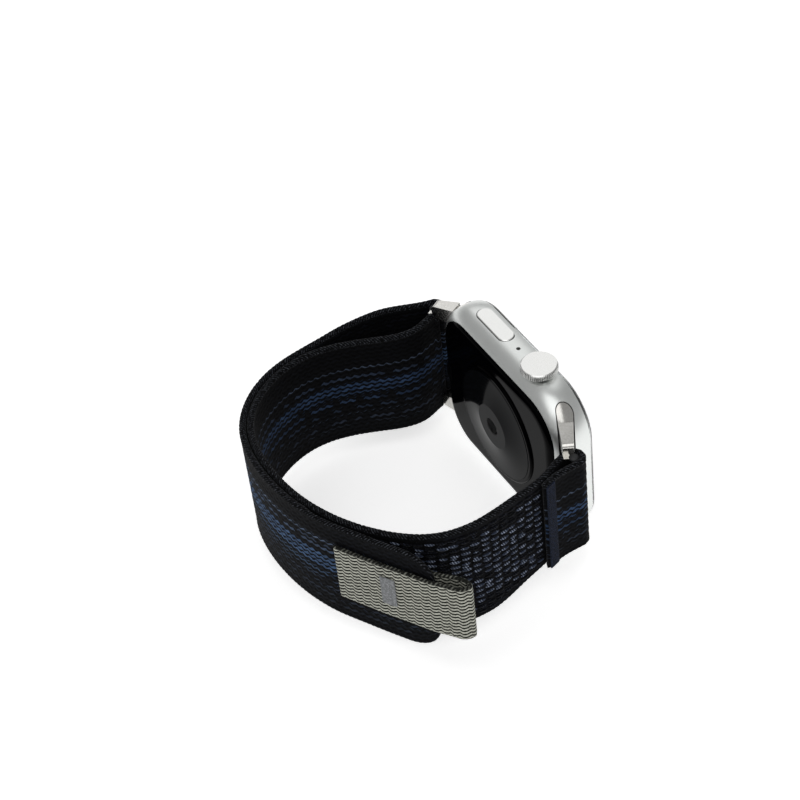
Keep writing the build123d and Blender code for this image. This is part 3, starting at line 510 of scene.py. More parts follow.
class Finish(Enum):
    """Every finish of the object, by what it is in reality."""

    # Bead-blasted anodised aluminium: an even pale satin with broad soft highlights.
    ANODISED = SolidFinish("anodised_aluminium_blasted", "e6e8e6", "dcdfdd", metallic=1.0,
                           roughness=0.38, spread=0.03, grain=0.25, depth=0.001)
    # Turned and blasted aluminium of the crown, darker round its side than on its flat face from
    # painted shade in the grooves.
    TURNED = KnurledMetal("anodised_aluminium_turned", "e4e4e2", "2a2a29", (6.7, -8.8), 3.55, 60)
    # Diamond-milled aluminium of the button, smoother than the case round it.
    MILLED = SolidFinish("anodised_aluminium_milled", "ececea", "e2e3e1", metallic=1.0,
                         roughness=0.3, spread=0.02, grain=0.25, depth=0.0008)
    # Satin stainless steel: bright, with soft patches where it curves.
    SATIN_STEEL = SolidFinish("stainless_steel_satin", "dbdad6", "c3c1bc", metallic=1.0,
                              roughness=0.2, spread=0.05, grain=0.3, depth=0.001,
                              stretch=(1.0, 1.0, 5.0))
    # Polished black zirconia: deep black with soft clear reflections.
    BLACK_CERAMIC = SolidFinish("zirconia_black_polished", "030304", "020203", roughness=0.1,
                                spread=0.03, grain=3.0, depth=0.0002, ior=1.08)
    # Cover glass over a dark display.
    COVER_GLASS = SolidFinish("aluminosilicate_glass", "f6f8f8", "f2f5f5", roughness=0.03,
                              spread=0.01, grain=4.0, depth=0.0, ior=1.51, transmission=1.0)
    # Display laminate that is switched off.
    DISPLAY = SolidFinish("display_laminate_black", "08080a", "050506", roughness=0.15,
                          spread=0.02, grain=1.0, depth=0.0005, ior=1.5)
    # Moulded rubber of the seals.
    RUBBER = SolidFinish("silicone_rubber_black", "1b1c1e", "121314", roughness=0.75,
                         grain=0.2, depth=0.006)
    # Solder mask over laminate and copper tracks.
    BOARD = SolidFinish("solder_mask_green", "15402c", "0c2a1d", roughness=0.35, grain=0.6,
                        depth=0.01, ior=1.55, coat=0.3)
    # Epoxy of the light detectors.
    DIODE = SolidFinish("epoxy_black", "141518", "0c0d0f", roughness=0.25, grain=0.3,
                        depth=0.002)
    # Gold-plated emitter cells under clear epoxy, with a painted glow that makes them the bright
    # specks behind the window.
    GOLD = SolidFinish("gold_plated_leadframe", "f2e2b8", "caa866", metallic=1.0,
                       roughness=0.3, grain=0.3, depth=0.02, painted_glow=0.35)
    # Enamelled copper wire of the coil, wound in fine turns.
    COPPER = SolidFinish("enamelled_copper_wire", "c46f3a", "8e4a22", metallic=1.0,
                         roughness=0.3, grain=0.25, depth=0.02)
    # Nickel plate on magnets and shield cans.
    NICKEL = SolidFinish("nickel_plate", "c9c6bd", "b3b0a6", metallic=1.0, roughness=0.22,
                         grain=0.4, depth=0.003)
    # Crinkled laminated foil of the cell.
    FOIL = SolidFinish("laminated_aluminium_foil", "b9bcc0", "8f9297", metallic=1.0,
                       roughness=0.38, spread=0.08, grain=2.5, depth=0.05)
    # Rolled steel of motor and pins.
    STEEL = SolidFinish("stainless_steel_rolled", "b8b6b2", "9d9b97", metallic=1.0,
                        roughness=0.28, grain=0.3, depth=0.004, stretch=(1.0, 6.0, 1.0))
    # Glass-filled nylon of the inner parts.
    PLASTIC = SolidFinish("glass_filled_nylon_black", "202123", "17181a", roughness=0.55,
                          grain=0.35, depth=0.01)
    # Dark plated zinc of the release buttons.
    DARK_PLATE = SolidFinish("zinc_dark_plated", "2b2c2f", "1f2022", metallic=1.0,
                             roughness=0.3, grain=0.3, depth=0.003)
    # Sapphire with black print, faint turned rings and a clear middle.
    WINDOW = PrintedSapphire("sapphire_printed_black", "0b0c0e", 1.75, 0.9)
    # Face of the band with navy and pale rows of yarn that swell and thin on black.
    BAND_OUTER = WovenFinish("nylon_webbing_striped", "090b10", "010102", 13.2, 1.1, 1.7,
                             OUTER_STRIPES)
    # Wrist face of the band, the same yarns from behind, lower and darker.
    BAND_INNER = WovenFinish("nylon_webbing_striped_back", "07080c", "010102", 13.2, 1.1, 1.7,
                             INNER_STRIPES)
    # Other face of the webbing: plain black ground under the brushed loops.
    BAND_GROUND = WovenFinish("nylon_webbing_black", "06070a", "010102", 13.2, 1.05, 1.9,
                              (YarnStripe(-13.2, 13.2, "12141b", 0.4),), uneven=0.9)
    # Rolled selvedge: black twill with grey specks where its threads catch the light.
    HEM = TwillFinish("nylon_selvedge_twill", "030304", "474a50", 0.62, 0.8, 0.5)
    # Pull tab: polyester webbing in wavy pale lines on black.
    TAB = WovenFinish("polyester_webbing_wavy", "b0b1a6", "060604", 7.3, 0.9, 1.9,
                      (YarnStripe(-7.3, 7.3, "b0b1a6", 2.0),), thick=0.6, swell=0.0,
                      uneven=0.15)
    # Corded edge of the tab, alternate pale and dark turns.
    TAB_EDGE = TwillFinish("polyester_cord_edge", "1a1b18", "7f8078", 0.8, 0.5, 0.9)
    # Dense navy bar of stitches.
    NAVY_TACK = TwillFinish("polyester_thread_navy", "0b101c", "2a3650", 0.3, 3.0, 0.5, 0.05)
    # Pale stitched patch on the tab.
    GREY_TACK = TwillFinish("polyester_thread_grey", "6f7173", "b9bbbd", 0.45, 3.0, 0.5, 0.1)
    # Moulded nylon hooks on a woven tape.
    HOOK = TwillFinish("nylon_hook_tape", "050506", "2a2c30", 0.6, 1.0, 0.4)
    # Brushed nylon loops with painted highlight where they catch the light, in blue-grey strokes.
    LOOP = TwillFinish("nylon_loop_pile", "2c3342", "99a2b6", 0.5, 0.4, 1.3, 0.1)
    # The same loops with painted shade, where they lie flat.
    LOOP_DARK = TwillFinish("nylon_loop_pile_painted_shade", "07080b", "232732", 0.5, 0.4, 1.3)

    def material(self) -> bpy.types.Material:
        """Return this finish's material, built once."""
        return bpy.data.materials.get(self.value.name) or self.value.material()


# ------------------------------------------------------------------ routes
def through(
    points: list[tuple[float, float]],
    start: tuple[float, float] | None = None,
    end: tuple[float, float] | None = None,
    step: float = 0.1,
) -> np.ndarray:
    """Draw a smooth cubic curve through points.

    Args:
        points: points in the plane of the loop, in millimetres.
        start: direction at the first point, or None for a free end.
        end: direction at the last point, or None for a free end.
        step: spacing of the points that come back, in millimetres.

    Returns:
        Points along the curve, one in each row.
    """
    given = np.array(points, float)
    chords = np.linalg.norm(np.diff(given, axis=0), axis=1)
    knots = np.concatenate([[0.0], np.cumsum(chords)])
    count = len(given)
    system = np.zeros((count, count))
    right = np.zeros((count, 2))
    for at in range(1, count - 1):
        system[at, at - 1:at + 2] = chords[at - 1], 2 * (chords[at - 1] + chords[at]), chords[at]
        rise = np.diff(given[at - 1:at + 2], axis=0) / chords[at - 1:at + 1, None]
        right[at] = 6 * (rise[1] - rise[0])
    for at, near, direction in ((0, 1, start), (count - 1, count - 2, end)):
        system[at, at] = 1.0
        if direction is not None:
            chord = chords[min(at, near)]
            unit = np.array(direction, float) / np.hypot(*direction)
            slope = (given[near] - given[at]) / (knots[near] - knots[at])
            system[at, at], system[at, near] = 2 * chord, chord
            right[at] = 6 * (slope - unit) * (1 if at == 0 else -1)
    bend = np.linalg.solve(system, right)
    where = np.linspace(0, knots[-1], max(8, round(knots[-1] / step)))
    piece = np.clip(np.searchsorted(knots, where, side="right") - 1, 0, count - 2)
    after = (where - knots[piece])[:, None]
    before = (knots[piece + 1] - where)[:, None]
    chord = chords[piece][:, None]
    curve = (bend[piece] * before ** 3 + bend[piece + 1] * after ** 3) / (6 * chord)
    curve += (given[piece] / chord - bend[piece] * chord / 6) * before
    return curve + (given[piece + 1] / chord - bend[piece + 1] * chord / 6) * after


class Route:
    """Middle line of a webbing in the plane of the loop, measured by its length."""

    def __init__(self, *runs: np.ndarray, outside: float = 1.0) -> None:
        """Join runs of points end to end.

        Args:
            *runs: each run's points, in order.
            outside: 1 if the outside of the loop is to the left of the route, else -1.
        """
        joined = np.concatenate([runs[0]] + [run[1:] for run in runs[1:]])
        kept = np.concatenate([[True], np.linalg.norm(np.diff(joined, axis=0), axis=1) > 1e-6])
        self.points = joined[kept]
        steps = np.linalg.norm(np.diff(self.points, axis=0), axis=1)
        self.along = np.concatenate([[0.0], np.cumsum(steps)])
        self.length = float(self.along[-1])
        self.outside = outside

    def at(self, distance: np.ndarray) -> np.ndarray:
        """Points at distances along the route."""
        return np.stack([np.interp(distance, self.along, self.points[:, axis])
                         for axis in (0, 1)], axis=-1)

    def tangent(self, distance: np.ndarray, reach: float = 0.25) -> np.ndarray:
        """Unit directions at distances along the route."""
        low = np.clip(np.asarray(distance) - reach, 0, self.length - 2 * reach)
        step = self.at(low + 2 * reach) - self.at(low)
        return step / np.linalg.norm(step, axis=-1, keepdims=True)

    def outward(self, distance: np.ndarray) -> np.ndarray:
        """Unit directions out of the loop at distances along the route."""
        direction = self.tangent(distance)
        return np.stack([-direction[..., 1], direction[..., 0]], axis=-1) * self.outside

    def beside(self, shares: list[float], offset: float) -> list[tuple[float, float]]:
        """Points an offset outside the route, at shares of its length."""
        distance = np.array(shares) * self.length
        return [tuple(p) for p in self.at(distance) + self.outward(distance) * offset]


@dataclass(frozen=True)
class LugArm:
    """Where an arm of a lug goes through the edge of the webbing, in millimetres.

    Attributes:
        head_x: X of the middle of the tongue's round head.
        head_y: its distance from the middle of the case.
        tilt: the tongue's angle towards the wrist in degrees.
        head_half: half width of the slot at the head.
        end_half: half width of the slot at the arm's end.
        reach: how far the slot goes from the head.
        face_z: distance of the slot's floor from the middle of the case.
    """

    head_x: float = 5.8
    head_y: float = 18.9
    tilt: float = 28.6
    head_half: float = 1.89
    end_half: float = 1.25
    reach: float = 8.15
    face_z: float = 10.85

    def depth(self, place: np.ndarray) -> np.ndarray:
        """How deep points of the loop lie inside a slot, negative outside.

        Args:
            place: points in the plane of the loop.

        Returns:
            Distance from the slot's nearest side in millimetres.
        """
        turn = math.radians(self.tilt)
        apart = np.stack([place[:, 0] - self.head_x, np.abs(place[:, 1]) - self.head_y], axis=-1)
        along = -apart[:, 0] * math.sin(turn) + apart[:, 1] * math.cos(turn)
        across = apart[:, 0] * math.cos(turn) + apart[:, 1] * math.sin(turn)
        half = self.head_half + (self.end_half - self.head_half) * along / self.reach
        return np.minimum(np.minimum(half - np.abs(across), self.reach - along), along)


@dataclass(frozen=True)
class BandLayout:
    """Where every layer of the band runs, in millimetres.

    The shapes are in shares of the loop's depth and of the bars' distance from the middle.
    """

    bar_x: float = 3.0
    bar_y: float = 26.0
    fold_r: float = 1.7
    loop_depth: float = 49.8
    thickness: float = 1.3
    pitch: float = 1.6
    meet_at: float = 0.735
    tail_at: float = 0.430
    tail_leaves_at: float = 0.355
    turnback_length: float = 10.0
    tab_from: float = 0.25
    tab_thickness: float = 0.9
    glue_gap: float = 0.04
    loop_shape: tuple = (
        (0.138, -1.025), (0.295, -1.095), (0.466, -1.146), (0.634, -1.098), (0.813, -0.823),
        (0.950, -0.358), (1.000, 0.208), (0.942, 0.712), (0.775, 1.008), (0.586, 1.104),
        (0.335, 0.977), (0.125, 0.868),
    )
    arch_shape: tuple = ((0.110, 1.145), (0.200, 1.204), (0.290, 1.221), (0.385, 1.218),
                         (0.480, 1.196))
    tail_shape: tuple = ((0.825, -0.950), (0.719, -1.285))
    tab_shape: tuple = ((0.700, -1.405), (0.655, -1.488), (0.630, -1.484), (0.630, -1.432),
                        (0.660, -1.345))

    def place(self, shape: tuple) -> list[tuple[float, float]]:
        """Loop points from their shares."""
        return [(self.bar_x - depth * self.loop_depth, across * self.bar_y)
                for depth, across in shape]

    def fold(self, side: int, start_turn: float, end_turn: float) -> np.ndarray:
        """Half turn round a lug bar, from one angle to another in degrees."""
        turns = np.radians(np.linspace(start_turn, end_turn, 40))
        centre = np.array([self.bar_x, side * self.bar_y])
        return centre + self.fold_r * np.stack([np.cos(turns), np.sin(turns)], axis=-1)

    def inner(self) -> Route:
        """Layer against the wrist, from the near lug to the far one."""
        near = (self.bar_x, -(self.bar_y - self.fold_r))
        far = (self.bar_x, self.bar_y - self.fold_r)
        return Route(through([near, *self.place(self.loop_shape), far], (-1, 0), (1, 0)))

    def near_webbing(self) -> Route:
        """Turned-back end, fold round the near bar and inner layer, as one webbing."""
        inner = self.inner()
        reach = self.turnback_length / inner.length
        ends = inner.beside([reach * 0.75, reach], self.pitch)
        start = (self.bar_x, -(self.bar_y + self.fold_r))
        away = inner.tangent(np.array(self.turnback_length))
        turnback = through([start, *ends], (-1, 0), tuple(away))[::-1]
        return Route(turnback, self.fold(-1, -90, 90), inner.points)

    def tail(self) -> Route:
        """End of the outer layer, from where it starts to peel to its tip."""
        inner = self.inner()
        shares = list(np.linspace(self.tail_at, self.tail_leaves_at, 3))
        wrapped = inner.beside(shares, self.pitch)
        away = -inner.tangent(np.array(self.tail_at * inner.length))
        return Route(through([*wrapped, *self.place(self.tail_shape)], tuple(away), (0.5, -0.87)),
                     outside=-1.0)

    def far_webbing(self) -> Route:
        """Fold round the far bar, free arch, outer layer and its tail, as one webbing."""
        inner = self.inner()
        start = (self.bar_x, self.bar_y + self.fold_r)
        wrapped = inner.beside(list(np.linspace(self.meet_at, self.tail_at, 6)), self.pitch)
        away = -inner.tangent(np.array(self.tail_at * inner.length))
        outer = through([start, *self.place(self.arch_shape), *wrapped], (-1, 0.25), tuple(away))
        return Route(self.fold(1, -90, 90), outer, self.tail().points, outside=-1.0)

    def tab(self) -> Route:
        """Pull tab: down the tail's face, out past its tip and back inside it."""
        tail = self.tail()
        face = self.thickness / 2 + self.glue_gap + self.tab_thickness / 2
        outer_leg = tail.beside(list(np.linspace(self.tab_from, 1.0, 5)), face)
        inner_leg = tail.beside([1.0, 0.88], -face)
        return Route(through([*outer_leg, *self.place(self.tab_shape), *inner_leg]),
                     outside=-1.0)


# ------------------------------------------------------------------ webbing
class Relief(Enum):
    """How the yarns stand on the faces of a strip."""

    STITCHED_ROWS = "rows of staggered stitches"
    WAVY_ROWS = "unbroken wavy rows"
    CROSS_THREADS = "threads laid across the strip"


@dataclass
class Webbing:
    """A strip of woven webbing along a route, with its yarns as real relief.

    Attributes:
        name: name of the piece.
        route: middle line.
        width: width in millimetres.
        thickness: thickness in millimetres.
        hem: radius of its rounded edge in millimetres.
        relief: how the yarns stand.
        row: height of a yarn row in millimetres.
        stitch: length of a stitch in millimetres.
        wave: length of the yarns' waves in millimetres.
        sway: how far the waves go either way in millimetres.
        height: how far the yarns stand up in millimetres.
        cord: how far the turns of the edge stand up in millimetres.
        cord_pitch: spacing of those turns in millimetres.
        step: spacing of the mesh in millimetres.
        arm: the lug arms it makes room for, or None.
        end_trim: how much its upper and lower edge come in at the near lug.
        tip_r: radius of the corners of its free end, or 0.
        finishes: outer face, inner face and edge.
        start: first distance along the route in millimetres.
        end: last distance, or None for the route's end.
        offset: how far its middle stands outside the route in millimetres.
        middle: height of its middle in millimetres.
        thin_from: distance from which its inner face is cut back, or None.
        thin_by: how much it is cut back in millimetres.
    """

    name: str
    route: Route
    width: float
    thickness: float
    hem: float
    relief: Relief
    row: float
    stitch: float
    wave: float
    sway: float
    height: float
    cord: float
    cord_pitch: float
    finishes: tuple[Finish, Finish, Finish]
    step: float = 0.33
    arm: LugArm | None = None
    end_trim: tuple[float, float] = (0.0, 0.0)
    tip_r: float = 0.0
    start: float = 0.0
    end: float | None = None
    offset: float = 0.0
    middle: float = 0.0
    thin_from: float | None = None
    thin_by: float = 0.0

    def section(self, turn: np.ndarray) -> tuple[np.ndarray, np.ndarray, np.ndarray, np.ndarray]:
        """Walk once round the strip's cross-section.

        Args:
            turn: places round it, from 0 to 1.

        Returns:
            Distance across, side from 1 outside to -1 inside, angle round the edge, and
            which part it is: 0 outer face, 1 inner face, 2 edge.
        """
        flat = self.width - 2 * self.hem
        cap = math.pi * self.hem
        walked = turn * 2 * (flat + cap)
        across = np.zeros_like(walked)
        angle = np.zeros_like(walked)
        part = np.full(walked.shape, 2)
        outer = walked <= flat
        top = (walked > flat) & (walked <= flat + cap)
        inner = (walked > flat + cap) & (walked <= 2 * flat + cap)
        low = walked > 2 * flat + cap
        across[outer] = walked[outer] - flat / 2
        angle[outer] = math.pi / 2
        angle[top] = math.pi / 2 - (walked[top] - flat) / self.hem
        across[top] = flat / 2
        across[inner] = flat / 2 - (walked[inner] - flat - cap)
        angle[inner] = -math.pi / 2
        angle[low] = -math.pi / 2 - (walked[low] - 2 * flat - cap) / self.hem
        across[low] = -flat / 2
        part[outer], part[inner] = 0, 1
        return across, np.sin(angle), angle, part

    def swayed(self, along: np.ndarray, across: np.ndarray) -> np.ndarray:
        """Distance across measured from the swaying yarns."""
        turn = 2 * math.pi * along / self.wave
        return across + self.sway * (np.sin(turn) + 0.3 * np.sin(2 * turn + 1.0))

    def stand(self, along: np.ndarray, across: np.ndarray) -> np.ndarray:
        """How far the yarns stand up, from 0 to 1."""
        if self.relief is Relief.CROSS_THREADS:
            return np.abs(np.sin(math.pi * (across / self.row + 0.15 * np.sin(along * 9.0))))
        rows = self.swayed(along, across) / self.row
        ridge = np.sqrt(np.abs(np.sin(math.pi * rows)))
        if self.relief is Relief.WAVY_ROWS:
            return ridge
        odd = np.floor(rows) % 2
        stitch = np.abs(np.sin(math.pi * (along / self.stitch + 0.5 * (1 - odd))))
        return ridge * (0.35 + 0.65 * np.sqrt(stitch))

    def reaches(self, along: np.ndarray, place: np.ndarray) -> tuple[np.ndarray, np.ndarray]:
        """Distances from the strip's middle to its upper and lower edge.

        Args:
            along: distance from the strip's start.
            place: middle line's points there.

        Returns:
            Upper and lower distance in millimetres, both positive.
        """
        edges = []
        for sign, trim in zip((1, -1), self.end_trim):
            reach = np.full(along.shape, self.width / 2)
            near = np.clip((place[:, 0] + 20.0) / 15.0, 0, 1) * (place[:, 1] < 0)
            reach -= trim * near * near * (3 - 2 * near)
            if self.arm is not None:
                inside = np.clip(self.arm.depth(place) / 0.3, 0, 1)
                floor = np.minimum(self.arm.face_z - sign * self.middle, reach)
                reach -= (reach - floor) * inside
            if self.tip_r:
                left = np.clip(self.tip_r - (along.max() - along), 0, self.tip_r)
                reach -= self.tip_r - np.sqrt(np.maximum(self.tip_r ** 2 - left ** 2, 0))
            edges.append(reach)
        return edges[0], edges[1]

    def build(self) -> bpy.types.Object:
        """Make the strip's mesh and dress it."""
        finish = self.route.length if self.end is None else self.end
        length = finish - self.start
        around = 2 * (self.width - 2 * self.hem + math.pi * self.hem)
        grid = bmesh.new()
        bmesh.ops.create_grid(grid, x_segments=max(4, round(length / self.step)),
                              y_segments=round(around / self.step), size=0.5)
        data = bpy.data.meshes.new(self.name)
        grid.to_mesh(data)
        grid.free()
        flat = np.zeros(len(data.vertices) * 3)
        data.vertices.foreach_get("co", flat)
        unit = flat.reshape(-1, 3)[:, :2] + 0.5
        along = unit[:, 0] * length
        across, side, angle, part = self.section(unit[:, 1])
        place = self.route.at(along + self.start)
        outward = self.route.outward(along + self.start)
        yarn_v = self.swayed(along, across)
        standing = self.stand(along, across) * self.height
        if self.relief is Relief.CROSS_THREADS:
            yarn_v = across
        edge_run = np.clip((np.abs(across) - (self.width / 2 - self.hem - 0.9)) / 0.9, 0, 1)
        edge_run = edge_run * edge_run * (3 - 2 * edge_run)
        turns = np.abs(np.sin(math.pi * (along / self.cord_pitch + 0.45 * np.sin(angle))))
        corded = self.hem - self.cord + self.cord * np.sqrt(turns)
        field_n = self.thickness / 2 - self.height + standing
        through_n = side * (field_n * (1 - edge_run) + corded * edge_run)
        if self.thin_from is not None:
            thin = np.clip((along + self.start - self.thin_from) / 2.0, 0, 1) * self.thin_by
            through_n = np.where(through_n < 0, np.minimum(through_n + thin, -0.1), through_n)
        ends = np.minimum(along, length - along)
        closing = np.sqrt(np.clip(1 - (1 - np.clip(ends / 0.6, 0, 1)) ** 2, 0.02, 1))
        through_n *= closing
        upper, lower = self.reaches(along, place)
        reach_w = across + np.cos(angle) * corded * (part == 2)
        wide = reach_w * np.where(reach_w > 0, upper, lower) / (self.width / 2)
        spot = np.zeros((len(along), 3))
        spot[:, :2] = place + outward * (through_n + self.offset)[:, None]
        spot[:, 2] = wide + self.middle
        data.vertices.foreach_set("co", (spot * MM).ravel())
        layer = data.uv_layers.new(name="yarn")
        corners = np.zeros(len(data.loops), int)
        data.loops.foreach_get("vertex_index", corners)
        round_edge = np.where(part == 2, across + angle * self.hem, yarn_v)
        yarn = np.stack([along, round_edge], axis=-1)
        layer.data.foreach_set("uv", yarn[corners].ravel())
        first = np.zeros(len(data.polygons), int)
        data.polygons.foreach_get("loop_start", first)
        slots = part[corners[first]]
        data.polygons.foreach_set("material_index", slots)
        return self.closed(data)

    def closed(self, data: bpy.types.Mesh) -> bpy.types.Object:
        """Merge the seam, close the ends and dress the strip.

        Args:
            data: the strip's open mesh.

        Returns:
            The finished object.
        """
        strip = bmesh.new()
        strip.from_mesh(data)
        bmesh.ops.remove_doubles(strip, verts=strip.verts, dist=0.002 * MM)
        rims = [edge for edge in strip.edges if edge.is_boundary]
        capped = bmesh.ops.holes_fill(strip, edges=rims, sides=0)
        for face in capped["faces"]:
            face.material_index = 2
        bmesh.ops.recalc_face_normals(strip, faces=strip.faces)
        for face in strip.faces:
            face.smooth = True
        strip.to_mesh(data)
        strip.free()
        for finish in self.finishes:
            data.materials.append(finish.material())
        made = bpy.data.objects.new(self.name, data)
        bpy.context.scene.collection.objects.link(made)
        return made


def as_object(made: bmesh.types.BMesh, name: str, *finishes: Finish) -> bpy.types.Object:
    """Turn a finished bmesh into an object of the scene.

    Args:
        made: the mesh, which is freed.
        name: name of the mesh and the object.
        *finishes: its materials, in slot order.

    Returns:
        The new object.
    """
    data = bpy.data.meshes.new(name)
    made.to_mesh(data)
    made.free()
    for finish in finishes:
        data.materials.append(finish.material())
    piece = bpy.data.objects.new(name, data)
    bpy.context.scene.collection.objects.link(piece)
    return piece


@dataclass
class LoopPile:
    """Loops that stand on the outside of the inner layer for the hook tape to catch.

    Attributes:
        route: middle line of the inner layer.
        stand: distance of the loops' feet outside it in millimetres.
        runs: stretches that have loops, in millimetres along the route.
        row: spacing across the band in millimetres.
        column: spacing along the band in millimetres.
        size: length, height and thickness of one loop in millimetres.
        reach: lowest and highest place of the rows across the band.
        end_trim: how much higher the lowest row stands at the near lug.
        trim_x: X from which that grows, and over which distance, in millimetres.
        bright_middle: place across the band where loops with the painted highlight are most common.
        bright_reach: distance across the band at which they end.
        low_scale: size of the flat rows against the raised ones.
        seed: seed of every random draw.
    """

    route: Route
    stand: float
    runs: tuple[tuple[float, float], ...]
    row: float = 0.76
    column: float = 2.15
    size: tuple[float, float, float] = (2.0, 0.66, 0.5)
    reach: tuple[float, float] = (-12.6, 10.4)
    end_trim: float = 2.6
    trim_x: tuple[float, float] = (-20.0, 15.0)
    bright_middle: float = -1.0
    bright_reach: float = 9.5
    low_scale: float = 0.62
    seed: int = 7

    def one_loop(self, made: bmesh.types.BMesh, uv: object, shift: Matrix, slot: int,
                 scale: float) -> None:
        """Add one curved stroke of yarn.

        Args:
            made: mesh that gets it.
            uv: its yarn coordinates.
            shift: where it stands and how it is turned.
            slot: its material's number.
            scale: its size against the usual one.
        """
        length, height, thickness = (s * MM * scale for s in self.size)
        added = bmesh.ops.create_uvsphere(made, u_segments=6, v_segments=5, radius=0.5)["verts"]
        for vert in added:
            lift = 0.35 * vert.co.z + (vert.co.z ** 2 - 0.1) * 0.5
            vert.co = Vector((vert.co.z * length, vert.co.y * thickness,
                              vert.co.x * height + lift * height))
        bmesh.ops.transform(made, matrix=shift, verts=added)
        for face in {f for v in added for f in v.link_faces}:
            face.material_index = slot
            face.smooth = True
            for corner in face.loops:
                corner[uv].uv = (corner.vert.co.x / MM, corner.vert.co.z / MM)

    def build(self) -> bpy.types.Object:
        """Make all the loops as one piece."""
        made = bmesh.new()
        uv = made.loops.layers.uv.new("yarn")
        chance = np.random.default_rng(self.seed)
        low, high = self.reach
        trim_from, trim_over = self.trim_x
        for start, end in self.runs:
            for number, along in enumerate(np.arange(start, end, self.column)):
                block = chance.random()
                reached = self.route.at(np.array(along))[0] - trim_from
                narrowing = np.clip(reached / trim_over, 0, 1)
                for level, across in enumerate(np.arange(low, high, self.row)):
                    if across < low + self.end_trim * narrowing:
                        continue
                    shift = (level % 2) * self.column * 0.12 + chance.normal(0, 0.08)
                    here = np.array(along + shift)
                    foot = self.route.at(here) + self.route.outward(here) * self.stand
                    lead = self.route.tangent(here)
                    # Each loop gets the painted highlight or the painted shade; the highlight comes
                    # more often on raised rows and near bright_middle.
                    away = abs(across - self.bright_middle) / self.bright_reach
                    middle = 1 - min(1.0, away) ** 2
                    bright = chance.random() < 0.15 + 1.1 * middle * (level % 2 == 0)
                    bright = bright and chance.random() < 0.7 + 0.3 * block
                    scale = 1.0 if level % 2 == 0 else self.low_scale
                    turn = Matrix((
                        (lead[0], -lead[1], 0, foot[0] * MM),
                        (lead[1], lead[0], 0, foot[1] * MM),
                        (0, 0, 1, (across + chance.normal(0, 0.06)) * MM), (0, 0, 0, 1)))
                    self.one_loop(made, uv, turn, 0 if bright else 1,
                                  scale * (1 + chance.normal(0, 0.08)))
        bmesh.ops.recalc_face_normals(made, faces=made.faces)
        return as_object(made, "loop_pile", Finish.LOOP, Finish.LOOP_DARK)


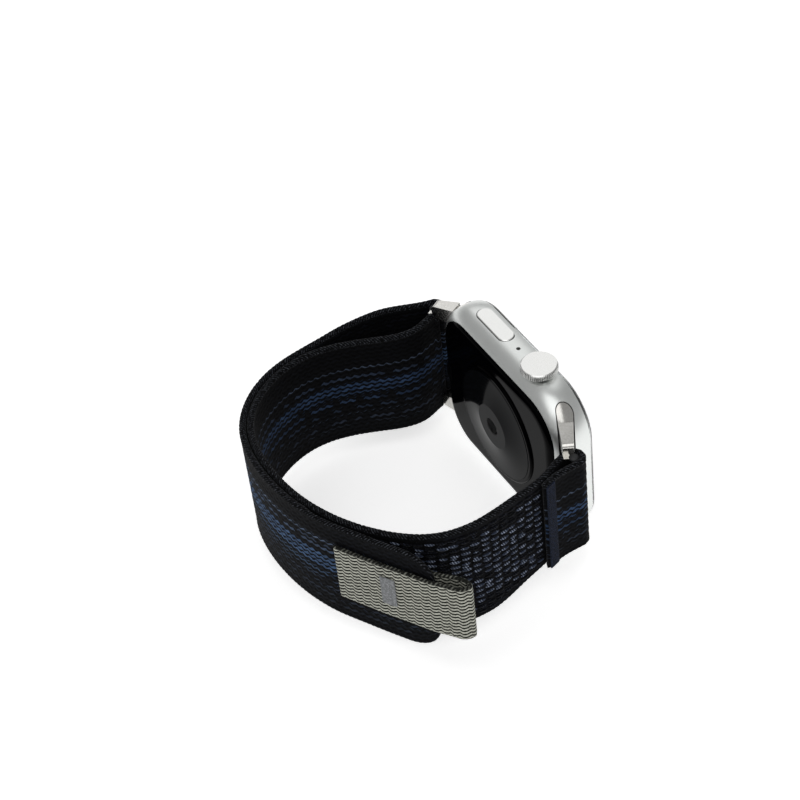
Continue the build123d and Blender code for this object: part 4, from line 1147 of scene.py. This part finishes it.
@dataclass
class WovenBand:
    """The whole hook-and-loop band, its tail, tab and stitching.

    Attributes:
        layout: the band's routes and thicknesses.
        width: width of the webbing in millimetres.
        middle: Z of its middle line in millimetres.
        end_trim: how far its upper and lower edges come in at the near lug.
        tab_width: width of the pull tab in millimetres.
        tip_r: radius of the tail's corners in millimetres.
        hook_t: thickness of the hook tape in millimetres.
        peel_start: distance before the peel line of the first point that peel_line gives.
        peel_end: distance after it of the last point.
        cap_r: radius of the painted-shade caps on the bar ends in millimetres.
        cap_half: half of a cap's thickness in millimetres.
        cap_z: Z of the upper caps' middle in millimetres.
    """

    layout: BandLayout = field(default_factory=BandLayout)
    width: float = 26.7
    middle: float = -1.0
    end_trim: tuple[float, float] = (0.35, 2.35)
    tab_width: float = 14.6
    tip_r: float = 6.9
    hook_t: float = 0.45
    peel_start: float = 4.0
    peel_end: float = 1.5
    cap_r: float = 1.02
    cap_half: float = 0.55
    cap_z: float = 11.45

    def webbing(self, name: str, route: Route, **changes: object) -> Webbing:
        """Webbing of the band's own weave."""
        return Webbing(
            name=name, route=route, width=self.width, thickness=self.layout.thickness,
            hem=0.72, relief=Relief.STITCHED_ROWS, row=1.1, stitch=1.7, wave=1.7, sway=0.19,
            height=0.2, cord=0.13, cord_pitch=1.05, arm=LugArm(), middle=self.middle, **changes)

    def peel_line(self) -> tuple[Vector, Vector]:
        """Points before and after the line the tail peels along, in metres."""
        tail = self.layout.tail()
        spot, way = tail.at(np.array(0.0)), tail.tangent(np.array(0.0))
        ends = [spot - way * self.peel_start, spot + way * self.peel_end]
        first, last = (Vector((end[0] * MM, end[1] * MM, 0)) for end in ends)
        return first, last

    def with_tail(self, piece: bpy.types.Object) -> bpy.types.Object:
        """Bake a piece's placement into its mesh; the peel line's points are worked out but not
        used, so the piece does not bend.
        """
        first, last = self.peel_line()
        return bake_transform(piece)

    def build(self) -> list[bpy.types.Object]:
        """Make every piece of the band, and bind each to its body except the outer layer and the
        hook tape.
        """
        layout = self.layout
        near = self.webbing("band_inner_layer", layout.near_webbing(), end_trim=self.end_trim,
                            finishes=(Finish.BAND_GROUND, Finish.BAND_INNER, Finish.HEM))
        inner = near.build()
        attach(inner, "case")
        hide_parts("strap_inner", "strap_turnback")

        far = self.webbing("band_outer_layer", layout.far_webbing(), tip_r=self.tip_r,
                           finishes=(Finish.BAND_OUTER, Finish.BAND_GROUND, Finish.HEM))
        far.thin_from = far.route.length - layout.tail().length
        far.thin_by = self.hook_t
        outer = far.build()
        self.with_tail(outer)
        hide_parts("strap_outer", "strap_tail")

        tab_route = layout.tab()
        tab = Webbing(
            name="pull_tab_webbing", route=tab_route, width=self.tab_width,
            thickness=layout.tab_thickness, hem=0.43, relief=Relief.WAVY_ROWS, row=0.9,
            stitch=1.9, wave=1.9, sway=0.2, height=0.2, cord=0.1, cord_pitch=0.8, step=0.2,
            finishes=(Finish.TAB, Finish.TAB, Finish.TAB_EDGE)).build()
        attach(tab, "band_tail")
        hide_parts("pull_tab")
        return [inner, outer, tab, *self.stitching(tab_route), self.hooks(), self.pile(),
                self.shade_caps()]

    def stitching(self, tab_route: Route) -> list[bpy.types.Object]:
        """Bar across the turned-back end and patch on the tab."""
        layout = self.layout
        bar = Webbing(
            name="turnback_bar_stitches", route=layout.near_webbing(), width=23.2,
            thickness=0.36, hem=0.17, relief=Relief.CROSS_THREADS, row=0.42, stitch=1.0,
            wave=3.0, sway=0.0, height=0.1, cord=0.04, cord_pitch=0.4, step=0.14,
            start=0.1, end=2.7, offset=-(layout.thickness / 2 + layout.glue_gap + 0.14),
            finishes=(Finish.NAVY_TACK,) * 3).build()
        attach(bar, "case")
        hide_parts("turnback_tack")
        patch = Webbing(
            name="tab_patch_stitches", route=tab_route, width=7.6, thickness=0.36, hem=0.17,
            relief=Relief.CROSS_THREADS, row=0.4, stitch=1.0, wave=3.0, sway=0.0, height=0.1,
            cord=0.04, cord_pitch=0.4, step=0.14, start=10.2, end=13.4,
            offset=layout.tab_thickness / 2 + layout.glue_gap + 0.14, middle=0.5,
            finishes=(Finish.GREY_TACK,) * 3).build()
        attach(patch, "band_tail")
        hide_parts("tab_tack")
        return [bar, patch]

    def shade_caps(self) -> bpy.types.Object:
        """Dark caps over the ends of the lug bars, at the edges of the folds, put there as painted
        shade where the folds shade the bars.
        """
        made = bmesh.new()
        layout = self.layout
        for side_y in (-1, 1):
            for side_z in (-1, 1):
                added = bmesh.ops.create_uvsphere(made, u_segments=24, v_segments=12,
                                                  radius=MM)["verts"]
                bmesh.ops.scale(made, verts=added, vec=(self.cap_r, self.cap_r, self.cap_half))
                bmesh.ops.translate(made, verts=added, vec=(
                    layout.bar_x * MM, side_y * layout.bar_y * MM, side_z * self.cap_z * MM))
        for face in made.faces:
            face.smooth = True
        # The caps are painted shade: dark shapes where the folds shade the bar ends.
        caps = as_object(made, "bar_end_shade_caps", Finish.PLASTIC)
        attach(caps, "case")
        return caps

    def hooks(self) -> bpy.types.Object:
        """Hook tape under the tail."""
        layout = self.layout
        tail = layout.tail()
        tape = Webbing(
            name="hook_tape", route=tail, width=24.4, thickness=0.4, hem=0.19, middle=self.middle,
            relief=Relief.STITCHED_ROWS, row=0.9, stitch=0.9, wave=5.0, sway=0.0, height=0.18,
            cord=0.03, cord_pitch=0.9, step=0.22, start=0.08 * tail.length,
            end=0.72 * tail.length, offset=-(layout.thickness / 2 - 0.22),
            finishes=(Finish.HOOK,) * 3).build()
        self.with_tail(tape)
        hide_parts("hook_patch")
        return tape

    def pile(self) -> bpy.types.Object:
        """Loops on the outside of the inner layer where nothing covers it."""
        inner = self.layout.inner()
        loops = LoopPile(inner, stand=self.layout.thickness / 2,
                         runs=((10.9, inner.length * 0.37), (inner.length * 0.75, 132.0)))
        pile = loops.build()
        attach(pile, "case")
        return pile


# ------------------------------------------------------------------ hard parts
@dataclass(frozen=True)
class HardParts:
    """The frame's own metal, glass and inner parts, each with its finish."""

    finishes: tuple[tuple[Finish, tuple[str, ...]], ...] = (
        (Finish.ANODISED, ("case_body",)),
        (Finish.TURNED, ("crown_cap",)),
        (Finish.MILLED, ("side_button",)),
        (Finish.COVER_GLASS, ("front_glass",)),
        (Finish.DISPLAY, ("display_panel",)),
        (Finish.RUBBER, ("display_gasket", "back_seal", "crown_seals")),
        (Finish.BLACK_CERAMIC, ("back_cover", "sensor_ring")),
        (Finish.WINDOW, ("sensor_window",)),
        (Finish.BOARD, ("sensor_board", "main_board")),
        (Finish.DIODE, ("photodiodes",)),
        (Finish.GOLD, ("light_emitters",)),
        (Finish.COPPER, ("charging_coil",)),
        (Finish.NICKEL, ("alignment_magnet", "chip_cans", "microphone")),
        (Finish.FOIL, ("battery",)),
        (Finish.STEEL, ("haptic_motor", "crown_shaft", "latch_near", "latch_far")),
        (Finish.PLASTIC, ("speaker", "crown_bushing", "crown_encoder", "crown_plunger",
                          "crown_switch", "side_button_switch")),
        (Finish.SATIN_STEEL, ("lug_near", "lug_far")),
        (Finish.DARK_PLATE, ("release_button_near", "release_button_far")),
    )

    def dress(self, nodes: dict[str, bpy.types.Object]) -> None:
        """Give each of the frame's nodes its finish.

        Args:
            nodes: the frame's nodes by name.
        """
        for finish, names in self.finishes:
            for name in names:
                for slot in nodes[name].material_slots:
                    slot.material = finish.material()
                LOG.info("dressed %s with %s", name, finish.value.name)


# ------------------------------------------------------------------ studio
@dataclass(frozen=True)
class Studio:
    """Floor, lights and camera round the object.

    Attributes:
        azimuth: camera's angle round the object in degrees, 0 looking along +Y.
        elevation: its angle above the floor.
        roll: its turn about its own line of sight.
        distance: its distance from the target in metres.
        target: point in the middle of the view.
        lens: focal length in millimetres on a sensor 36 mm wide.
        floor_z: height of the floor.
    """

    azimuth: float = -25.315
    elevation: float = 44.518
    roll: float = -7.127
    distance: float = 0.4439
    target: tuple[float, float, float] = (-0.01320, 0.01362, 0.00417)
    lens: float = 98.49
    floor_z: float = -0.0190

    def camera(self) -> None:
        """Make the camera and use it."""
        turn, rise, roll = (math.radians(a) for a in (self.azimuth, self.elevation, self.roll))
        back = Vector((math.sin(turn) * math.cos(rise), -math.cos(turn) * math.cos(rise),
                       math.sin(rise)))
        right = Vector((math.cos(turn), math.sin(turn), 0))
        up = back.cross(right)
        right_rolled = right * math.cos(roll) + up * math.sin(roll)
        up_rolled = up * math.cos(roll) - right * math.sin(roll)
        made = bpy.data.objects.new("camera", bpy.data.cameras.new("camera"))
        made.data.lens = self.lens
        made.data.clip_start = 0.01
        axes = Matrix((right_rolled, up_rolled, back)).transposed().to_4x4()
        made.matrix_world = Matrix.Translation(Vector(self.target) + back * self.distance) @ axes
        bpy.context.scene.collection.objects.link(made)
        bpy.context.scene.camera = made

    def softbox(self, name: str, place: tuple[float, float, float], size: float,
                energy: float) -> None:
        """Hang a square soft light that looks at the object.

        Args:
            name: its name.
            place: where it hangs, in metres.
            size: its side in metres.
            energy: its power in watts.
        """
        lamp = bpy.data.lights.new(name, "AREA")
        lamp.shape, lamp.size, lamp.energy = "SQUARE", size, energy
        hung = bpy.data.objects.new(name, lamp)
        hung.location = place
        hung.rotation_mode = "QUATERNION"
        hung.rotation_quaternion = Vector(place).to_track_quat("Z", "Y")
        bpy.context.scene.collection.objects.link(hung)

    def floor(self) -> None:
        """Lay a plain pale floor."""
        sheet = bmesh.new()
        bmesh.ops.create_grid(sheet, x_segments=1, y_segments=1, size=3.0)
        bmesh.ops.translate(sheet, verts=sheet.verts, vec=(0, 0, self.floor_z))
        data = bpy.data.meshes.new("floor")
        sheet.to_mesh(data)
        sheet.free()
        material, tree = new_material("floor_white_paper")
        shader = add_node(tree, "BsdfPrincipled", None,
                          {"Base Color": linear("f4f4f4"), "Roughness": 0.9,
                           "Specular IOR Level": 0.1, "Emission Color": linear("ffffff"),
                           "Emission Strength": 0.55})
        finish_tree(tree, shader)
        data.materials.append(material)
        laid = bpy.data.objects.new("floor", data)
        bpy.context.scene.collection.objects.link(laid)

    def light(self) -> None:
        """Set the plain pale surroundings and the soft lights."""
        scene = bpy.context.scene
        scene.view_settings.view_transform = "Standard"
        world = bpy.data.worlds.new("studio")
        world.use_nodes = True
        world.node_tree.nodes["Background"].inputs["Color"].default_value = (1, 1, 1, 1)
        world.node_tree.nodes["Background"].inputs["Strength"].default_value = 0.36
        scene.world = world
        self.softbox("key_light", (-0.30, -0.35, 0.80), 1.0, 3.6)
        self.softbox("rim_light", (0.35, 0.60, 0.65), 0.8, 1.5)


def main() -> None:
    """Build the looks round the frame, in order."""
    logging.basicConfig(level=logging.INFO, format="%(message)s")
    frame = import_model()
    studio = Studio()
    studio.camera()
    studio.light()
    studio.floor()
    HardParts().dress(frame["nodes"])
    for piece in WovenBand().build():
        LOG.info("built %s with %d faces", piece.name, len(piece.data.polygons))


if __name__ == "__main__":
    main()
